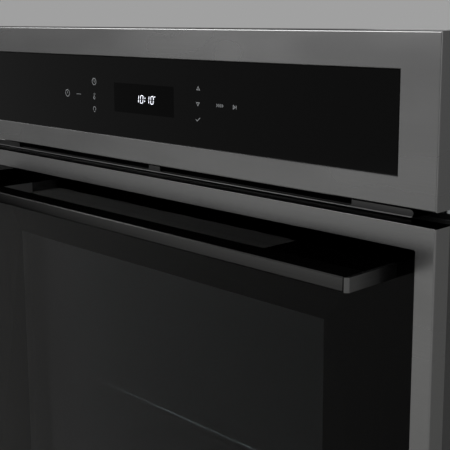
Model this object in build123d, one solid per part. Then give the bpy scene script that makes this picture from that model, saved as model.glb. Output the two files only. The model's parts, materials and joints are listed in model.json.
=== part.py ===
from build123d import *
import math
import os

# A built-in oven for a 60 cm kitchen niche, in millimetres.
# The origin is the middle of the chassis base, +Z is up, +X is to the right seen from the front,
# and the door faces -Y.

# The whole oven
FRONT_W = 596.0  # width of the control panel and of the door
FRONT_H = 595.0  # from the lower trim to the top of the control panel
FRONT_CLEAR = 3.0  # the lower trim stands this far above the niche floor
FRONT_OVER = 20.0  # the front reaches this far past the casing at each side
CASE_DROP = 13.0  # from the control panel's top edge down to the casing's top
CHASSIS_D = 526.0  # from the cabinet's front plane to the rear cover
PANEL_H = 115.0  # control panel
VENT_GAP = 9.9  # open slit between the control panel and the door
LOWER_BAND = 20.0  # from the lower trim's foot to the door's lower edge
DOOR_T = 38.0
DOOR_GAP = 4.0  # between the closed door's back and the front frame
CAVITY_FLOOR = 62.0  # height of the baking space's floor
CAVITY_DROP = 54.7  # from the vent strip down to the baking space's ceiling
CAVITY_BESIDE = 38.0  # from the chassis side to the baking space
CAVITY_BEHIND = 112.0  # from the baking space's rear wall to the rear cover
CAVITY_CORNER = 12.0

# Materials by thickness
CASE_SHEET = 1.0
FRAME_SHEET = 1.5
PANEL_SHEET = 1.5
LINER_SHEET = 1.2
DUCT_SHEET = 0.8
GLASS = 4.0
BLANKET = 24.0  # mineral wool

# Clearances
SLIP = 0.3  # beside a piece that is laid or pushed into its place
RUNNING = 0.05  # radial, round a turning shaft or pin
SEAL_AIR = 0.3  # between the soft seal and the closed door
CUT = 1.0  # how far a cutting shape reaches past the face that it opens
NEAR = 0.01  # two places closer than this are the same place

# Casing
UPTURN = 16.0  # height of the sheets' folded edges
SLOT_W = 5.0
SLOT_L = 42.0
BASE_SLOTS = 4
BASE_SLOT_PITCH = 108.0
SIDE_SLOTS = 14
SIDE_SLOT_PITCH = 30.0
LOW_SLOTS = 5
LOW_SLOT_PITCH = 80.0
LOW_SLOT_Z = 23.5
TOP_SLOT_COLUMNS = 6
TOP_SLOT_PITCH = 71.0
TOP_SLOT_ROWS = 5
TOP_ROW_PITCH = 18.0
TOP_SLOT_REAR = 68.0  # from the rear cover to the middle of the top slots
MOTOR_SLOTS = 9
MOTOR_SLOT_PITCH = 12.5
UPPER_SLOTS = 18
UPPER_SLOT_PITCH = 16.0
UPPER_SLOT_X = -83.0
CASING_SCREW_R = 3.5
CASING_SCREW_T = 1.8
CASING_SCREW_EDGE = 0.5
CASING_SCREW_IN = 12.0  # from the chassis edge to the screws
CASING_SCREW_ROWS = 4

# Front frame
FRAME_BESIDE = 4.0  # the frame ends this far inside the door's sides
FRAME_LOW = 4.0
FRAME_CORNER = 2.0
FIX_BESIDE = 8.0  # from the frame's side edge to the cabinet screws
FIX_Z = 300.0
FIX_MID_Z = 270.0
FIX_R = 2.6

# Vent strip under the control panel
STRIP_RECESS = 14.0
STRIP_BESIDE = 27.4  # from the panel's side to the strip's end
STRIP_H = 5.5
STRIP_SHEET = 1.0
STRIP_ABOVE_DOOR = 0.6
STRIP_REST = 19.0  # how far the strip reaches behind the cabinet's front plane
STRIP_BRIDGE = 15.0
STRIP_SOLID = 52.2  # sheet left beyond the outer end of each slot
STRIP_CORNER = 2.6

# Control panel
GLASS_BESIDE = 31.2  # steel on each side of the control glass
GLASS_H = 70.0
GLASS_DROP = 24.8  # from the panel's top edge to the glass
GLASS_RECESS = 0.3
GLASS_EDGE = 0.3
PANEL_EDGE = 0.6  # chamfer round the glass cut-out
PANEL_BEND = 1.2  # outer radius of the folded front edges
PANEL_LIP = 17.0  # depth of the panel's lower fold
PANEL_AIR = 1.0  # between the panel's folds and the cabinet's front plane
HOUSING_BESIDE = 12.0  # how far the housing reaches past the glass at its sides
HOUSING_OVER = 6.2  # and above and below it
HOUSING_WALL = 2.5
HOUSING_RIM = 6.0  # the ledge that carries the glass
HOUSING_CORNER = 4.0
BOARD_T = 1.6
BOARD_CORNER = 2.0
DISPLAY_W = 80.0
DISPLAY_H = 25.4
DISPLAY_D = 10.0
DISPLAY_X = 3.0
DISPLAY_CORNER = 1.0
CARRIER_UP = 3.0  # from the control panel's lower edge to the panel carrier's

# Air duct and cooling fan
DUCT_BESIDE = 4.0  # the duct is this much wider than the slots on each side
DUCT_H = 8.3
DUCT_AIR = 1.0  # between the strip's face and the duct's mouth
BLOWER_R = 40.0
BLOWER_Y = 190.0
BLOWER_W = 220.0
BLOWER_SHEET = 1.0
BLOWER_END = 1.5
BLOWER_TONGUE = 18.0
BLOWER_FOOT = 56.0  # depth of the end plates' feet
ROTOR_AIR = 10.0  # between the rotor and the scroll
ROTOR_SIDE = 3.5  # air between the rotor and the end plates
ROTOR_DISC = 1.5
ROTOR_SHAFT_R = 3.0
ROTOR_SHAFT_IN = 24.0  # how far the rotor's shaft reaches into the motor
ROTOR_BLADES = 18
BLADE_DEPTH = 8.0
BLADE_T = 1.0
BLADE_IN = 0.5  # the blades end this far inside the discs' edge
BLOWER_MOTOR_R = 26.0
BLOWER_MOTOR_L = 40.0
BLOWER_MOTOR_EDGE = 3.0

# Upper plate over the insulation
PLATE_GAP = 1.0

# Relay board
POWER_W = 130.0
POWER_D = 150.0
POWER_X = -140.0
POWER_Y = 20.0
POWER_POST = 14.0
POWER_POST_R = 4.0
POWER_POST_IN = 8.0
RELAYS = 4
RELAY_PITCH = 30.0
RELAY_SIZE = (16.0, 18.0, 16.0)
RELAY_IN = 14.0
TRANSFORMER_SIZE = (36.0, 36.0, 28.0)
TRANSFORMER_IN = 22.0
CAPACITOR_R = 8.0
CAPACITOR_H = 24.0
CAPACITOR_IN = (40.0, 26.0)

# Mains terminals and cable inlet
TERMINAL_X = 205.0
TERMINAL_DROP = 39.0  # from the top cover to the middle of the terminals
TERMINAL_SIZE = (52.0, 24.0, 22.0)
TERMINAL_HOLES = 5
TERMINAL_PITCH = 9.5
TERMINAL_HOLE_R = 2.2
INLET_X = 205.0
INLET_DROP = 79.0  # from the top cover to the inlet's axis
INLET_BORE_R = 6.0
INLET_BODY_R = 10.0
INLET_FLANGE_R = 15.0
INLET_FLANGE_T = 3.0
INLET_NUT_T = 5.0
INLET_L = 24.0

# Convection fan and its motor
WHEEL_INSIDE = 20.0  # from the ring heater's wire line in to the wheel's rim
WHEEL_D = 22.0
WHEEL_GAP = 7.0  # from the cavity's rear wall to the wheel's disc
WHEEL_DISC = 1.2
WHEEL_BLADES = 10
WHEEL_BLADE_T = 1.2
WHEEL_EYE_R = 32.0  # where the blades begin
WHEEL_BLADE_IN = 1.0
WHEEL_HUB_R = 12.0
WHEEL_HUB_D = 13.0
SHAFT_R = 4.0
SHAFT_HOLE_R = 9.0
SHAFT_NOSE = 7.0  # how far the shaft stands out of the wheel's hub
SHAFT_TAIL = 4.0  # and out of the rear bearing plate
NUT_R = 7.5
NUT_T = 5.0
NUT_SIDES = 6
COLLAR_STEP = 2.0
COLLAR_T = 3.0
MOTOR_ROTOR_R = 15.0
MOTOR_AIR = 0.5
MOTOR_W = 62.0
MOTOR_STACK = 24.0
MOTOR_STACK_CORNER = 3.0
MOTOR_END_AIR = 4.0  # between the bearing plates and the stack
MOTOR_BRIDGE = 11.0  # iron between the rotor's bore and the winding's window
MOTOR_WINDOW_H = 14.0
MOTOR_LEG = 11.0
MOTOR_LEG_SIDE = 13.0
COIL_W = 32.0
COIL_T = 3.0
MOTOR_POST_R = 4.0
MOTOR_POST_AT = 38.0
BRACKET_T = 2.0
BRACKET_GAP = 4.0
BRACKET_W = 88.0
BRACKET_H = 34.0
BRACKET_CORNER = 8.0

# Baffle over the fan
BAFFLE_BESIDE = 70.0  # from the baffle's side to the baking space's wall
BAFFLE_ENDS = 47.5  # and from its edges to the floor and the ceiling
BAFFLE_D = 39.0
BAFFLE_SHEET = 1.0
BAFFLE_CORNER = 14.0
INTAKES = 18
INTAKE_R = 42.0  # from the fan's axis to the middle of an intake slot
INTAKE_W = 5.0
INTAKE_L = 34.0
OUTLETS = 4
OUTLET_PITCH = 50.0
OUTLET_L = 40.0
OUTLET_D = 18.0
OUTLET_IN = 10.0

# Heaters
ELEMENT_R = 3.2
ELEMENT_MARGIN = 6.4  # plate round a heater's ends
TERMINAL_PLATE = 1.5
TAIL_OUT = 16.0  # how far a heater's ends reach behind the cavity
TAIL_HOLE_R = 8.0  # the blanket's openings for them
TAIL_AT = 14.0  # from the middle to each of a heater's two ends
RING_INSIDE = 39.0  # from the baffle's lower edge in to the ring heater's wire line
GRILL_DROP = 14.0
GRILL_BESIDE = 50.0
GRILL_FRONT = 50.0  # from the cavity's mouth to the first run
GRILL_RUNS = 6
ELEMENT_BEND = 18.0
BOTTOM_BESIDE = 60.0
BOTTOM_IN = 57.0
BOTTOM_RUNS = 4

# Lamp and probe
LAMP_DROP = 44.0  # from the baking space's ceiling to the lamp's axis
LAMP_CUP_R = 20.0
LAMP_CUP_D = 22.0
LAMP_CUP_WALL = 1.5
LAMP_FLANGE_R = 27.0
LAMP_FLANGE_T = 2.0
LAMP_AIR = 2.0
LAMP_COVER_R = 25.0
LAMP_COVER_D = 20.0
LAMP_COVER_T = 2.2
LAMP_COVER_ROUND = 8.0
BULB_R = 8.0
BULB_L = 26.0
BULB_NOSE = 6.4
SOCKET_R = 6.4
SOCKET_L = 9.0
PROBE_DROP = 34.0  # from the ceiling to the probe
PROBE_R = 2.5
PROBE_L = 38.0
PROBE_PLATE = (26.0, 12.0)
PROBE_CORNER = 3.0

# Side racks, shelf and tray
RACK_WIRE_R = 2.5
RACK_POST_R = 3.0
RACK_WALL_GAP = 2.0
RACK_LEVELS = 5
RACK_FIRST = 40.0  # the first level above the cavity floor
RACK_LAST = 77.0  # the last level under the ceiling
RACK_GUIDE = 13.0  # from a support wire up to the guide wire over it
RACK_FRONT = 20.0
RACK_POST_IN = 50.0  # from the wires' ends to the posts
WELD = 0.5  # how deep a welded wire sinks into its post
SHELF_LEVEL = 2
TRAY_LEVEL = 1
SHELF_FRONT = 14.0  # from the cavity's mouth to the shelf's front edge
SHELF_REAR = 7.0  # from the shelf's rear edge to the baffle
SHELF_SIDE = 1.0
SHELF_ROD_R = 3.0
SHELF_CROSS_R = 2.6
SHELF_WIRE_R = 1.6
SHELF_WIRE_STEP = 25.0  # widest step between the shelf's thin wires, near enough
SHELF_CROSS_RODS = 3
TRAY_SHEET = 1.2
TRAY_DEPTH = 32.0
TRAY_RIM = 14.0
TRAY_SLOPE = 8.0  # degrees that the tray's walls lean out
TRAY_SIDE = 1.5

# Seal
GASKET_W = 8.0
GASKET_OUT = 3.0  # from the cavity's mouth to the seal
GASKET_ROUND = 1.6

# Lower trim
TRIM_T = 3.0
TRIM_UNDER_DOOR = 2.0
TRIM_SLOTS = 9
TRIM_SLOT_PITCH = 60.0

# Door
RAIL_W = 17.4  # visible steel above and below the door glass
STILE_W = 15.7  # and beside it
DOOR_SHEET = 1.5
RETURN_D = 16.0
FRAME_EDGE = 0.5  # chamfer round the frame's opening
GLASS_SET = 1.0  # from the frame's face back to the glass
DOOR_CORNER = 1.0
MASK_T = 0.3
WINDOW_W = 406.0
WINDOW_H = 292.0
WINDOW_DROP = 83.4  # from the door's top edge to the window
POST_W = 38.5
POST_WALL = 1.2
POST_SLOT_AIR = 5.0  # from the middle of a hinge claw to the side of its slot
POST_SLOT_H = 26.0  # from the hinge axis to the top of that slot
MIDDLE_IN = 18.0  # from the door's front to the middle pane
MIDDLE_BESIDE = 8.0  # from the middle pane to the side posts
MIDDLE_ENDS = 34.0  # from the door's edges to the middle pane
MIDDLE_CORNER = 2.0
CLIPS = 3
CLIP_PITCH = 137.0
CLIP_H = 24.0
CLIP_GRIP = 5.0
CLIP_WALL = 2.5
INNER_ON_POST = 6.0
INNER_ENDS = 13.0
INNER_CORNER = 6.0
TOP_TRIM_H = 18.0
TOP_TRIM_WALL = 2.0
TOP_TRIM_SLOTS = 9
TOP_TRIM_PITCH = 55.0
CHANNEL_H = 26.0

# Door hinges
HINGE_UP = 8.0  # from the door's lower edge to the hinge axis
HINGE_IN = 11.0  # from the door's back to the hinge axis
HINGE_SLOT_W = 8.0
HINGE_SLOT_H = 20.0
CLAW_T = 4.0
CLAW_H = 12.0
CLAW_EYE_R = 7.0
PIN_R = 4.0
PIN_L = 15.0
CHEEK_T = 2.0
CHEEK_AIR = 1.5
CHEEK_H = 44.0
CHEEK_UNDER = 2.0  # steel under the pin
CHEEK_BEHIND = 1.5  # steel behind the pin
HOOK_R = 2.5
HOOK_L = 8.0
RECEIVER_W = 10.0
RECEIVER_H = 28.0
RECEIVER_D = 38.0
RECEIVER_BACK = 3.0
SPRING_R = 7.0
SPRING_WIRE_R = 1.1
SPRING_TURNS = 14
SPRING_PITCH = 6.0

# Handle
BAR_STAND = 51.2  # from the door's front plane to the bar's front face
BAR_D = 19.6
BAR_H = 10.0
BAR_DROP = 28.7  # from the door's top edge to the bar's top
BAR_EDGE = 0.8
JOINT_EDGE = 0.3  # chamfer on both sides of the joint between the bar and an arm
HANDLE_BESIDE = 14.3  # from the door glass's edge to the handle's end
ARM_W = 88.4
CAP_T = 3.0
CAP_GROOVE = 0.8
CAP_BEVEL = 2.0
HANDLE_SCREW_PITCH = 45.0
HANDLE_SCREW_R = 2.5
HANDLE_SCREW_HEAD_R = 5.0
HANDLE_SCREW_HEAD_T = 3.0
HANDLE_SCREW_DEPTH = 15.0

# Planes and places that the pieces share
LEFT = -1
RIGHT = 1
SIDES = (LEFT, RIGHT)
CABINET_Y = -CHASSIS_D / 2
REAR_Y = CHASSIS_D / 2
FRAME_Y = CABINET_Y - FRAME_SHEET
DOOR_BACK_Y = FRAME_Y - DOOR_GAP
FRONT_Y = DOOR_BACK_Y - DOOR_T
TOP_Z = FRONT_CLEAR + FRONT_H
CHASSIS_W = FRONT_W - 2 * FRONT_OVER
CHASSIS_H = TOP_Z - CASE_DROP
PANEL_Z = TOP_Z - PANEL_H
CARRIER_Z = PANEL_Z + CARRIER_UP
DOOR_TOP_Z = PANEL_Z - VENT_GAP
DOOR_Z = FRONT_CLEAR + LOWER_BAND
DOOR_H = DOOR_TOP_Z - DOOR_Z
DOOR_MID_Z = DOOR_Z + DOOR_H / 2
CASE_IN = CHASSIS_W / 2 - CASE_SHEET  # inner face of a side panel
CASE_TOP = CHASSIS_H - CASE_SHEET  # underside of the top cover
CASE_REAR = REAR_Y - CASE_SHEET  # inner face of the rear cover
TERMINAL_Z = CASE_TOP - TERMINAL_DROP
INLET_Z = CASE_TOP - INLET_DROP
STRIP_Z = DOOR_TOP_Z + STRIP_ABOVE_DOOR
STRIP_Y = FRONT_Y + STRIP_RECESS
STRIP_W = FRONT_W - 2 * STRIP_BESIDE
STRIP_SLOT_END = STRIP_W / 2 - STRIP_SOLID
FRAME_W = FRONT_W - 2 * FRAME_BESIDE
FIX_X = FRAME_W - 2 * FIX_BESIDE  # spacing of the cabinet screws

CAVITY_W = CHASSIS_W - 2 * CAVITY_BESIDE
CAVITY_TOP = STRIP_Z - CAVITY_DROP
CAVITY_H = CAVITY_TOP - CAVITY_FLOOR
CAVITY_MID = CAVITY_FLOOR + CAVITY_H / 2
CAVITY_REAR = REAR_Y - CAVITY_BEHIND
CAVITY_BACK = CAVITY_REAR + LINER_SHEET  # outer face of the rear wall
BAFFLE_Y = CAVITY_REAR - BAFFLE_D
BAFFLE_W = CAVITY_W - 2 * BAFFLE_BESIDE
BAFFLE_H = CAVITY_H - 2 * BAFFLE_ENDS
RING_R = BAFFLE_H / 2 - RING_INSIDE
WHEEL_R = RING_R - WHEEL_INSIDE
PLATE_Z = CAVITY_TOP + LINER_SHEET + BLANKET + PLATE_GAP
PLATE_TOP = PLATE_Z + CASE_SHEET
UPPER_MID_Z = (PLATE_Z + CASE_TOP) / 2  # middle of the space over the upper plate

GLASS_W = FRONT_W - 2 * GLASS_BESIDE
GLASS_MID_Z = TOP_Z - GLASS_DROP - GLASS_H / 2
CONTROL_BACK = FRONT_Y + GLASS_RECESS + GLASS

DUCT_W = 2 * (STRIP_SLOT_END + DUCT_BESIDE)
DUCT_Z = STRIP_Z + STRIP_SHEET
DUCT_ROOF = DUCT_Z + DUCT_H
DUCT_REAR = BLOWER_Y - BLOWER_R
BLOWER_Z = DUCT_Z + BLOWER_R
ROTOR_R = BLOWER_R - ROTOR_AIR

WHEEL_Y = CAVITY_REAR - WHEEL_GAP  # rear face of the wheel's disc
MOTOR_Y = CAVITY_BACK + BLANKET + BRACKET_GAP
MOTOR_STACK_Y = MOTOR_Y + BRACKET_T + MOTOR_END_AIR
MOTOR_BACK_Y = MOTOR_STACK_Y + MOTOR_STACK + MOTOR_END_AIR
SHAFT_END_Y = MOTOR_BACK_Y + BRACKET_T + SHAFT_TAIL
TAILS = (-TAIL_AT, TAIL_AT)
GRILL_Z = CAVITY_TOP - GRILL_DROP
RING_Z = CAVITY_MID - math.sqrt(RING_R**2 - TAIL_AT**2)  # where the ring meets its two ends
LAMP_X = -(CAVITY_W - BAFFLE_BESIDE) / 2  # midway between the baffle and the wall
LAMP_Z = CAVITY_TOP - LAMP_DROP
PROBE_X = -LAMP_X
PROBE_Z = CAVITY_TOP - PROBE_DROP

RACK_PITCH = (CAVITY_H - RACK_FIRST - RACK_LAST) / (RACK_LEVELS - 1)
RACK_POST_X = CAVITY_W / 2 - RACK_WALL_GAP - RACK_POST_R
RACK_WIRE_X = RACK_POST_X - RACK_POST_R - RACK_WIRE_R + WELD
SHELF_X = RACK_POST_X - RACK_POST_R - SHELF_SIDE - SHELF_ROD_R  # middle of the shelf's side rods
SHELF_Y = CABINET_Y + SHELF_FRONT
SHELF_END_Y = BAFFLE_Y - SHELF_REAR

OPENING_W = FRONT_W - 2 * STILE_W
OPENING_H = DOOR_H - 2 * RAIL_W
GLASS_FACE = FRONT_Y + GLASS_SET  # front face of the door glass
GLASS_BACK = GLASS_FACE + GLASS
POST_FRONT = GLASS_BACK + MASK_T
INNER_FACE = DOOR_BACK_Y - GLASS
POST_IN = FRONT_W / 2 - DOOR_SHEET - POST_W
POST_OUT = POST_IN + POST_W
WINDOW_Z = DOOR_TOP_Z - WINDOW_DROP - WINDOW_H / 2
MIDDLE_W = 2 * (POST_IN - MIDDLE_BESIDE)
MIDDLE_H = DOOR_H - 2 * MIDDLE_ENDS
MIDDLE_Y = FRONT_Y + MIDDLE_IN
INNER_W = 2 * (POST_IN + INNER_ON_POST)
INNER_H = DOOR_H - 2 * INNER_ENDS

HINGE_X = CASE_IN - RECEIVER_W / 2
HINGE_Z = DOOR_Z + HINGE_UP
HINGE_Y = DOOR_BACK_Y - HINGE_IN
CHEEK_Z = HINGE_Z - PIN_R - CHEEK_UNDER
SPRING_Y = (POST_FRONT + INNER_FACE) / 2
SPRING_Z = CHEEK_Z + CHEEK_H

BAR_Y = FRONT_Y - BAR_STAND
BAR_TOP = DOOR_TOP_Z - BAR_DROP
BAR_MID_Z = BAR_TOP - BAR_H / 2
ARM_X = OPENING_W / 2 - HANDLE_BESIDE - CAP_T  # outer side of an arm
BAR_W = 2 * (ARM_X - CAP_GROOVE)


# Helpers


def block(x0, x1, y0, y1, z0, z1):
    """A box between two corners."""
    middle = Pos((x0 + x1) / 2, (y0 + y1) / 2, (z0 + z1) / 2)
    return middle * Box(abs(x1 - x0), abs(y1 - y0), abs(z1 - z0))


def block_at(x, y, z, size):
    """A box centred on x and y that stands on z."""
    w, d, h = size
    return block(x - w / 2, x + w / 2, y - d / 2, y + d / 2, z, z + h)


def rod_x(x0, x1, y, z, r):
    return Pos((x0 + x1) / 2, y, z) * Rot(0, 90, 0) * Cylinder(r, abs(x1 - x0))


def rod_y(x, y0, y1, z, r):
    return Pos(x, (y0 + y1) / 2, z) * Rot(90, 0, 0) * Cylinder(r, abs(y1 - y0))


def rod_z(x, y, z0, z1, r):
    return Pos(x, y, (z0 + z1) / 2) * Cylinder(r, abs(z1 - z0))


def slab(width, height, x, z, y0, y1, corner=0.0):
    """A plate that stands across the oven, centred on x and z, from y0 back to y1."""
    plane = Plane(origin=(x, y1, z), x_dir=(1, 0, 0), z_dir=(0, -1, 0))
    outline = RectangleRounded(width, height, corner) if corner > 0 else Rectangle(width, height)
    return extrude(plane * outline, amount=y1 - y0)


def hexagon(r, x, z, y0, y1):
    """A nut's six-sided body from y0 back to y1."""
    plane = Plane(origin=(x, y1, z), x_dir=(1, 0, 0), z_dir=(0, -1, 0))
    return extrude(plane * RegularPolygon(r, NUT_SIDES), amount=y1 - y0)


def bent_rod(points, bend, r):
    """A round rod along straight runs with equal bends."""
    path = FilletPolyline(*points, radius=bend)
    section = Plane(origin=path @ 0, z_dir=path % 0) * Circle(r)
    return sweep(section, path=path)


def spread(first, last, count):
    """Evenly spaced values from first to last."""
    step = (last - first) / (count - 1)
    return [first + step * i for i in range(count)]


def row(middle, pitch, count):
    """Values at an equal pitch, as many on each side of the middle."""
    return [middle + pitch * (i - (count - 1) / 2) for i in range(count)]


def round_axis(angle, shape, axis_point, spin):
    """The shape turned by an angle about a line through axis_point, where spin is the turning axis."""
    there = Pos(*axis_point)
    turn = Rot(*[angle * s for s in spin])
    return there * turn * there.inverse() * shape


def fuse_all(shapes):
    return shapes[0].fuse(*shapes[1:])


def cut_all(body, tools):
    return body.cut(*tools)


def group(shapes):
    """Separate solids that share one name."""
    return Compound([s for shape in shapes for s in shape.solids()])


def slots_through(xs, zs, width, height, y0, y1):
    """Tools for rounded slots through a sheet that stands across the oven from y0 to y1."""
    corner = min(width, height) * 0.49
    return [slab(width, height, x, z, y0 - CUT, y1 + CUT, corner) for x in xs for z in zs]


def slots_down(xs, ys, z0, z1):
    """Tools for slots through a lying sheet between z0 and z1."""
    return [
        block(x - SLOT_L / 2, x + SLOT_L / 2, y - SLOT_W / 2, y + SLOT_W / 2, z0 - CUT, z1 + CUT)
        for x in xs
        for y in ys
    ]


def rim_edges(sheet, width, height, z):
    """Front edges of a cut-out of that size, centred on z, in a sheet whose face is the front plane."""
    return [
        e
        for e in sheet.edges()
        if abs(e.center().Y - FRONT_Y) < NEAR
        and abs(e.center().X) < width / 2 + NEAR
        and abs(e.center().Z - z) < height / 2 + NEAR
    ]


def holes_y(places, y0, y1, r):
    """Tools for round holes along Y through what lies between y0 and y1."""
    return [rod_y(x, y0 - CUT, y1 + CUT, z, r) for x, z in places]


# Casing


def base_tray():
    """Floor sheet of the chassis with upturned edges inside the side panels."""
    half = CHASSIS_W / 2
    floor = block(-half, half, CABINET_Y, REAR_Y, 0, CASE_SHEET)
    folds = [
        block(s * (CASE_IN - CASE_SHEET), s * CASE_IN, CABINET_Y, CASE_REAR, CASE_SHEET, UPTURN)
        for s in SIDES
    ]
    folds.append(block(-CASE_IN, CASE_IN, CASE_REAR - CASE_SHEET, CASE_REAR, CASE_SHEET, UPTURN))
    places = row(0, BASE_SLOT_PITCH, BASE_SLOTS)
    return cut_all(fuse_all([floor, *folds]), slots_down(places, places, 0, CASE_SHEET))


def side_panel(side):
    """Zinc-coated side sheet with a row of cooling slots beside the upper compartment."""
    x0 = side * CASE_IN
    x1 = side * CHASSIS_W / 2
    panel = block(x0, x1, CABINET_Y, CASE_REAR, CASE_SHEET, CASE_TOP)
    z = UPPER_MID_Z
    high = [
        block(x0 - side, x1 + side, y - SLOT_W / 2, y + SLOT_W / 2, z - SLOT_L / 2, z + SLOT_L / 2)
        for y in row(0, SIDE_SLOT_PITCH, SIDE_SLOTS)
    ]
    z = LOW_SLOT_Z
    low = [
        block(x0 - side, x1 + side, y - SLOT_L / 2, y + SLOT_L / 2, z - SLOT_W / 2, z + SLOT_W / 2)
        for y in row(0, LOW_SLOT_PITCH, LOW_SLOTS)
    ]
    return cut_all(panel, high + low)


def top_cover():
    """Top sheet with down-turned edges inside the side panels."""
    half = CHASSIS_W / 2
    cover = block(-half, half, CABINET_Y, REAR_Y, CASE_TOP, CHASSIS_H)
    y0 = CABINET_Y + 2 * LINER_SHEET  # behind the panel carrier
    folds = [
        block(s * (CASE_IN - CASE_SHEET), s * CASE_IN, y0, CASE_REAR, CASE_TOP - UPTURN / 2, CASE_TOP)
        for s in SIDES
    ]
    xs = row(0, TOP_SLOT_PITCH, TOP_SLOT_COLUMNS)
    ys = row(REAR_Y - TOP_SLOT_REAR, TOP_ROW_PITCH, TOP_SLOT_ROWS)
    return cut_all(fuse_all([cover, *folds]), slots_down(xs, ys, CASE_TOP, CHASSIS_H))


def rear_cover():
    """Rear sheet with slots behind the fan motor and a hole for the cable inlet."""
    half = CHASSIS_W / 2
    cover = block(-half, half, CASE_REAR, REAR_Y, CASE_SHEET, CASE_TOP)
    motor_xs = row(0, MOTOR_SLOT_PITCH, MOTOR_SLOTS)
    upper_xs = row(UPPER_SLOT_X, UPPER_SLOT_PITCH, UPPER_SLOTS)
    slots = slots_through(motor_xs, [CAVITY_MID], SLOT_W, 2 * SLOT_L, CASE_REAR, REAR_Y)
    slots += slots_through(upper_xs, [UPPER_MID_Z], SLOT_W, SLOT_L, CASE_REAR, REAR_Y)
    inlet = holes_y([(INLET_X, INLET_Z)], CASE_REAR, REAR_Y, INLET_BODY_R + SLIP)
    return cut_all(cover, slots + inlet)


def casing_screws():
    """Pan heads that hold the rear cover to the side panels, base and top cover."""
    x = CHASSIS_W / 2 - CASING_SCREW_IN
    zs = spread(CASING_SCREW_IN, CASE_TOP - CASING_SCREW_IN, CASING_SCREW_ROWS)
    heads = [rod_y(s * x, REAR_Y, REAR_Y + CASING_SCREW_T, z, CASING_SCREW_R) for s in SIDES for z in zs]
    return group([chamfer(h.edges().sort_by(Axis.Y)[-1:], CASING_SCREW_EDGE) for h in heads])


def upper_plate():
    """Sheet over the insulation that carries the cooling fan."""
    plate = block(-CASE_IN, CASE_IN, CABINET_Y, CASE_REAR, PLATE_Z, PLATE_TOP)
    fold = block(-CASE_IN, CASE_IN, CASE_REAR - CASE_SHEET, CASE_REAR, PLATE_Z, PLATE_Z + UPTURN)
    return plate.fuse(fold)


# Front frame and baking space


def front_frame():
    """Enamelled steel frame round the cavity's mouth, with the flange that is screwed to the cabinet."""
    height = STRIP_Z - FRAME_LOW
    plate = slab(FRAME_W, height, 0, FRAME_LOW + height / 2, FRAME_Y, CABINET_Y, FRAME_CORNER)
    mouth = slab(CAVITY_W, CAVITY_H, 0, CAVITY_MID, FRAME_Y - CUT, CABINET_Y + CUT, CAVITY_CORNER)
    places = [(x, z) for x in row(0, FIX_X, 2) for z in row(FIX_MID_Z, FIX_Z, 2)]
    holes = holes_y(places, FRAME_Y, CABINET_Y, FIX_R)
    hinges = slots_through(row(0, 2 * HINGE_X, 2), [HINGE_Z], HINGE_SLOT_W, HINGE_SLOT_H, FRAME_Y, CABINET_Y)
    return cut_all(plate, [mouth, *holes, *hinges])


def tail_places():
    """Where the heaters' ends pass the rear wall."""
    return [(x, z) for x in TAILS for z in (GRILL_Z, RING_Z)]


def cavity_liner():
    """Enamelled baking space, one pressed shell open to the front."""
    t = LINER_SHEET
    w = CAVITY_W + 2 * t
    h = CAVITY_H + 2 * t
    outer = slab(w, h, 0, CAVITY_MID, CABINET_Y, CAVITY_BACK, CAVITY_CORNER + t)
    inner = slab(CAVITY_W, CAVITY_H, 0, CAVITY_MID, CABINET_Y - CUT, CAVITY_REAR, CAVITY_CORNER)
    holes = holes_y([(0, CAVITY_MID)], CAVITY_REAR, CAVITY_BACK, SHAFT_HOLE_R)
    holes += holes_y([(LAMP_X, LAMP_Z)], CAVITY_REAR, CAVITY_BACK, LAMP_CUP_R + SLIP)
    holes += holes_y([(PROBE_X, PROBE_Z)], CAVITY_REAR, CAVITY_BACK, PROBE_R + SLIP)
    holes += holes_y(tail_places(), CAVITY_REAR, CAVITY_BACK, ELEMENT_R + SLIP)
    return cut_all(outer, [inner, *holes])


def insulation_blanket():
    """Mineral wool round the cavity, with openings for the motor, lamp and heater ends."""
    below = 2 * ELEMENT_R + 2 * SLIP  # room under the floor for the bottom heater
    w = CAVITY_W + 2 * LINER_SHEET
    h = CAVITY_H + 2 * LINER_SHEET + below
    z = CAVITY_MID - below / 2
    y_end = CAVITY_BACK + BLANKET
    corner = CAVITY_CORNER + BLANKET / 2
    outer = slab(w + 2 * BLANKET, h + 2 * BLANKET, 0, z, CABINET_Y + FRAME_SHEET, y_end, corner)
    inner = slab(w, h, 0, z, CABINET_Y - CUT, CAVITY_BACK, CAVITY_CORNER + LINER_SHEET)
    holes = holes_y([(0, CAVITY_MID)], CAVITY_BACK, y_end, MOTOR_POST_AT + 2 * MOTOR_POST_R)
    holes += holes_y([(LAMP_X, LAMP_Z)], CAVITY_BACK, y_end, LAMP_CUP_R + LAMP_AIR)
    holes += holes_y([(PROBE_X, PROBE_Z)] + tail_places(), CAVITY_BACK, y_end, TAIL_HOLE_R)
    return cut_all(outer, [inner, *holes])


def door_gasket():
    """Heat-proof seal round the cavity's mouth."""
    w = CAVITY_W + 2 * GASKET_OUT
    h = CAVITY_H + 2 * GASKET_OUT
    y0 = DOOR_BACK_Y + SEAL_AIR
    corner = CAVITY_CORNER + GASKET_OUT
    ring = slab(w + 2 * GASKET_W, h + 2 * GASKET_W, 0, CAVITY_MID, y0, FRAME_Y, corner + GASKET_W)
    ring = ring.cut(slab(w, h, 0, CAVITY_MID, y0 - CUT, FRAME_Y + CUT, corner))
    front = ring.faces().sort_by(Axis.Y)[0]
    return fillet(front.edges(), GASKET_ROUND)


def rack_wire_z(level):
    """Height of a level's support wire."""
    return CAVITY_FLOOR + RACK_FIRST + level * RACK_PITCH


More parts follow.
